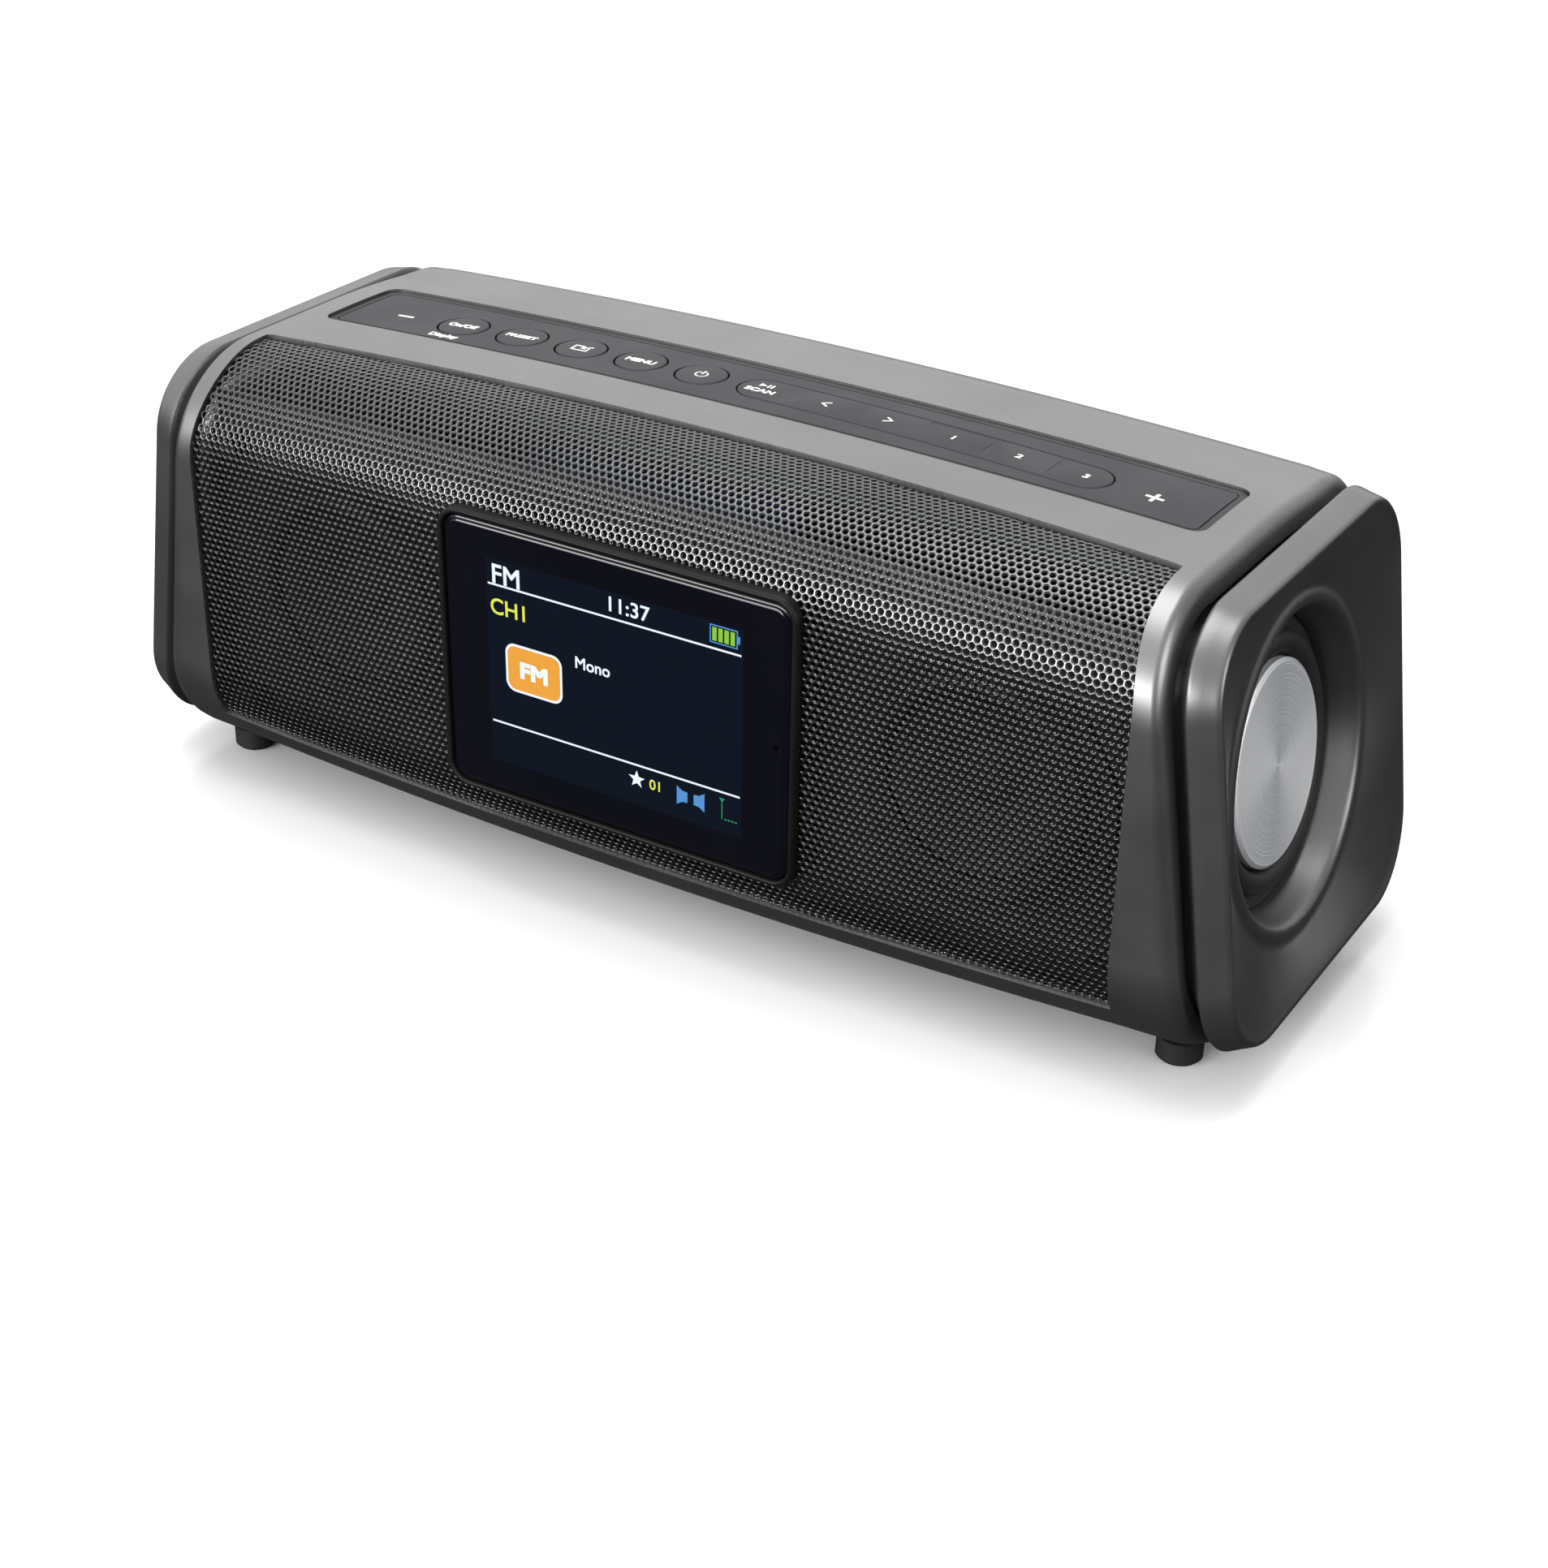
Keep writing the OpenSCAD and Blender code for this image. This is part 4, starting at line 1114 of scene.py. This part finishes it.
def cap_flat(d):
    """Rounded rectangle shrunk by d, with points along its straight sides too."""
    out = []

    def corner(k, degrees):
        (sx, sy), r, a = CAP_CORNERS[k], max(CAP_R[k] - d, 1), math.radians(degrees)
        cx, cy = sx * (CAP_DEPTH / 2 - d - r), sy * (CAP_TALL / 2 - d - r)
        return (cx + r * math.cos(a), cy + r * math.sin(a))

    for k in range(4):
        out += [corner(k, 90 * (k + i / CORNER_STEPS)) for i in range(CORNER_STEPS + 1)]
        following = (k + 1) % 4
        start, end = out[-1], corner(following, 90 * following)
        for i in range(1, SIDE_STEPS):
            t = i / SIDE_STEPS
            out.append((start[0] + (end[0] - start[0]) * t, start[1] + (end[1] - start[1]) * t))
    return out


def cap_loop(d, z):
    return [(x, y, z) for x, y in cap_flat(d)]


CAP_ANGLES = [math.atan2(y, x) for x, y in cap_flat(1.6)]


def ring_loop(r, z):
    return [(r * math.cos(a), r * math.sin(a), z) for a in CAP_ANGLES]


def blended(d, z_out, r, z_in, t, ease):
    """A loop part of the way from the cap's outline to the lip circle."""
    z = z_out + (z_in - z_out) * ease
    return [
        (x0 + (x1 - x0) * t, y0 + (y1 - y0) * t, z)
        for (x0, y0), (x1, y1, _) in zip(cap_flat(d), ring_loop(r, 0))
    ]


def end_cap(side, name):
    loops = [cap_loop(d, z) for d, z in [
        (3.2, -9.2), (0.8, -7.4), (-1.3, -6.15), (-1.75, -5.95), (-1.98, -5.6), (-1.92, -5.1),
        (-1.2, -3.2), (-0.55, -1.3), (-0.4, -0.85), (-0.2, -0.42), (0.1, -0.13), (0.5, 0), (0.95, -0.05),
        (1.35, -0.22),
    ]]
    start_z, end_z = -0.3, -4.4
    for k in range(1, 13):
        t = k / 13
        loops.append(blended(1.5, start_z, LIP_CIRCLE + 2.3, end_z, t, t**1.15))
    rings = [
        (33.7, -4.42), (33.2, -4.4), (32.7, -4.2), (32.1, -3.95), (31.4, -3.86), (30.7, -4.0),
        (30.15, -4.5), (29.75, -5.3), (29.3, -6.6), (28.7, -8.2), (28.15, -9.4), (28, -10.2), (28, -17),
        (30, -17), (30, -8.5),
    ]
    loops += [ring_loop(r, z) for r, z in rings]
    loops += [cap_loop(d, z) for d, z in [(5.2, -6.2), (5.2, -14), (3.2, -14)]]
    obj = skin(f"end_cap_{name}_shell", loops, closed=True, angle=50)
    moved(obj, at_end(side))
    if side < 0:
        cut(
            obj,
            block(-130, 41.3, TROUGH_Z - 3.7, -100, 51.3, TROUGH_Z + 3.7),
            block(-112.5, 37.2, TROUGH_Z - 7.8, -100, 47.2, TROUGH_Z + 7.8),
        )
    return dressed(obj, CAP, "case", "shell_plastic", f"end_cap_{name}")


def radiator_disc(side, name):
    r, z = DISC_R, -DISC_SINK
    profile = [(0, z), (6, z), (12, z), (r - 0.75, z), (r - 0.2, z - 0.35), (r, z - 0.6), (r, z - 2)]
    profile += [(17, z - 2), (17, z - 5), (0, z - 5)]
    obj = turned(f"radiator_disc_{name}_face", profile, 128, False, angle=20)
    moved(obj, at_end(side))
    return dressed(obj, ALUMINIUM, f"radiator_disc_{name}", "spun_aluminium", f"radiator_disc_{name}")


def roll_sector(name, side, k, sectors, profile, thick):
    """One sector of a rubber roll; sectors meet edge to edge."""
    steps = 6
    angles = [2 * math.pi * (k + i / steps) / sectors for i in range(steps + 1)]
    top = [[(r * math.cos(a), r * math.sin(a), z) for r, z in profile] for a in angles]
    low = [[(r * math.cos(a), r * math.sin(a), z - thick) for r, z in profile] for a in angles]
    n = len(profile)
    size = len(angles) * n
    faces = [f[::-1] for f in grid_faces(len(angles), n)]
    faces += [tuple(size + p for p in f) for f in grid_faces(len(angles), n)]
    for i in range(steps):
        a, b = i * n, (i + 1) * n
        faces.append((a, b, size + b, size + a))
        faces.append((b + n - 1, a + n - 1, size + a + n - 1, size + b + n - 1))
    points = [p for row in top + low for p in row]
    obj = mesh_object(name, points, faces, angle=60)
    moved(obj, at_end(side))
    return obj


def radiator_surround(side, name):
    """The roll between the disc and its frame, in sectors that meet edge to edge."""
    sectors = 16
    mid, roll, z = 22.7, 2.45, -11.0
    profile = [(19.3, -10.7), (20.1, -10.75)]
    half_turn = [math.pi * i / 14 for i in range(15)]
    profile += [(mid - roll * math.cos(a), z + roll * math.sin(a)) for a in half_turn]
    profile += [(25.6, -11.05), (27.7, -11.15)]
    for k in range(sectors):
        obj = roll_sector(f"radiator_roll_{name}_{k + 1}", side, k, sectors, profile, 0.7)
        obj.data.materials.append(RUBBER)
        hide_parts(f"radiator_surround_{name}")
        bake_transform(obj)


def ends():
    for side, name in ((-1, "left"), (1, "right")):
        end_cap(side, name)
        radiator_disc(side, name)
        radiator_surround(side, name)


# ---- CAD nodes that stay ---------------------------------
KEPT = {
    BLACK: ["lcd_holder", "speaker_baffle", "port_plate", "dc_socket", "audio_sockets",
            "radiator_frame_left", "radiator_frame_right", "driver_basket_left", "driver_basket_right"],
    GLOSS: ["lcd_panel"],
    RUBBER: ["feet", "driver_surround_left", "driver_surround_right"],
    STEEL: ["tuner_module", "usb_socket", "tact_switches", "case_screws"],
    MAGNET: ["driver_magnet_left", "driver_magnet_right"],
    CONE: ["driver_cone_left", "driver_cone_right"],
    BOARD: ["main_board", "keypad_board", "port_board"],
    CELL: ["battery_pack"],
    CHROME: ["aerial_swivel", "aerial_elbow", "aerial_rod", *[f"aerial_tube_{k}" for k in (1, 2, 3)]],
}


def dress_cad():
    for material, names in KEPT.items():
        for name in names:
            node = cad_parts[name]
            node.data.materials.clear()
            node.data.materials.append(material)
            node.data.shade_smooth()
            node.data.set_sharp_from_angle(angle=math.radians(35))


# ---- stage, light and camera -----------------------------
# in metres: the paper is plain near the radio and fades to white between the first two distances
FLOOR_CLEAR = 0.45
FLOOR_WHITE = 1.1
FLOOR_HALF = 6.0


def stage():
    mesh = bpy.data.meshes.new("floor")
    corners = [(x * FLOOR_HALF, y * FLOOR_HALF, 0) for x, y in ((-1, -1), (1, -1), (1, 1), (-1, 1))]
    mesh.from_pydata(corners, [], [(0, 1, 2, 3)])
    floor = bpy.data.objects.new("floor", mesh)
    bpy.context.scene.collection.objects.link(floor)
    m = Nodes("floor_paper")
    m.set(Specular_IOR_Level=0.5)
    m.tint(m.noise(3, 2), grey(0.86), grey(0.88))
    m.rough(m.spread(m.noise(6, 2), 0.12, 0.16))
    from_middle = m.new("ShaderNodeVectorMath", operation="LENGTH")
    m.link(m.where(), from_middle.inputs[0])
    glow = m.spread(from_middle.outputs["Value"], 0.0, 1.0, FLOOR_CLEAR, FLOOR_WHITE)
    m.set(Emission_Color=(1, 1, 1, 1))
    m.link(glow, m.shader.inputs["Emission Strength"])
    floor.data.materials.append(m.material)
    floor.visible_glossy = False
    floor.visible_diffuse = False


def sky():
    """A bright dome above the horizon that falls off to the right, and a dark one below it."""
    world = bpy.data.worlds.new("studio")
    world.use_nodes = True
    bpy.context.scene.world = world
    tree = world.node_tree
    tree.nodes.clear()
    coord = tree.nodes.new("ShaderNodeTexCoord")
    split = tree.nodes.new("ShaderNodeSeparateXYZ")
    tree.links.new(coord.outputs["Generated"], split.inputs[0])
    both = tree.nodes.new("ShaderNodeMath")
    both.operation = "MULTIPLY"
    for k, (axis, limits) in enumerate((("Z", (-0.04, 0.06, 0.04, 1.25)), ("X", (0.0, 0.75, 1.0, 0.3)))):
        fade = tree.nodes.new("ShaderNodeMapRange")
        for key, value in zip(("From Min", "From Max", "To Min", "To Max"), limits):
            fade.inputs[key].default_value = value
        tree.links.new(split.outputs[axis], fade.inputs["Value"])
        tree.links.new(fade.outputs[0], both.inputs[k])
    path = tree.nodes.new("ShaderNodeLightPath")
    mix = tree.nodes.new("ShaderNodeMix")
    mix.data_type = "FLOAT"
    tree.links.new(path.outputs["Is Camera Ray"], mix.inputs[0])
    tree.links.new(both.outputs[0], mix.inputs[2])
    mix.inputs[3].default_value = 1.0
    back = tree.nodes.new("ShaderNodeBackground")
    back.inputs["Color"].default_value = (1, 1, 1, 1)
    tree.links.new(mix.outputs[0], back.inputs["Strength"])
    out = tree.nodes.new("ShaderNodeOutputWorld")
    tree.links.new(back.outputs[0], out.inputs["Surface"])


def softbox(name, place_m, target, size, power):
    light = bpy.data.lights.new(name, "AREA")
    light.shape = "RECTANGLE"
    light.size, light.size_y = size
    light.energy = power
    obj = bpy.data.objects.new(name, light)
    obj.location = place_m
    obj.rotation_mode = "QUATERNION"
    obj.rotation_quaternion = (Vector(target) - Vector(place_m)).to_track_quat("-Z", "Y")
    bpy.context.scene.collection.objects.link(obj)


def lights():
    sky()
    softbox("overhead", (-0.2, 0.1, 1.5), (0, 0, 0.05), (1.2, 0.8), 12)
    softbox("front_strip", (-0.42, -1.45, 0.46), (0.0, 0, 0.07), (1.5, 0.22), 20)
    softbox("right_fill", (1.5, -0.25, 0.75), (0.1, 0, 0.05), (0.9, 0.9), 11)


LENS = 61.75
SENSOR = 36
SHIFT = (-0.0237, 0.0333)
CAMERA_PLACE = (0.2587, -0.4191, 0.2846)
AZIMUTH, ELEVATION, ROLL = (math.radians(a) for a in (30.13, 30.16, 1.58))


def camera():
    """The view the object is shown in: from the front right, 30 degrees above the table."""
    data = bpy.data.cameras.new("camera")
    cam = bpy.data.objects.new("camera", data)
    bpy.context.scene.collection.objects.link(cam)
    data.sensor_fit = "AUTO"
    data.sensor_width = SENSOR
    data.lens = LENS
    data.shift_x, data.shift_y = SHIFT
    data.clip_start, data.clip_end = 0.01, 50
    cam.location = CAMERA_PLACE
    ahead = Vector((
        -math.sin(AZIMUTH) * math.cos(ELEVATION),
        math.cos(AZIMUTH) * math.cos(ELEVATION),
        -math.sin(ELEVATION),
    ))
    cam.rotation_mode = "QUATERNION"
    level = ahead.to_track_quat("-Z", "Y")
    cam.rotation_quaternion = level @ Matrix.Rotation(ROLL, 3, "Z").to_quaternion()
    bpy.context.scene.camera = cam


front_frame()
rear_housing()
grille()
display()
screen()
keypad()
ends()
dress_cad()
stage()
lights()
camera()
bpy.context.scene.view_settings.view_transform = "Standard"
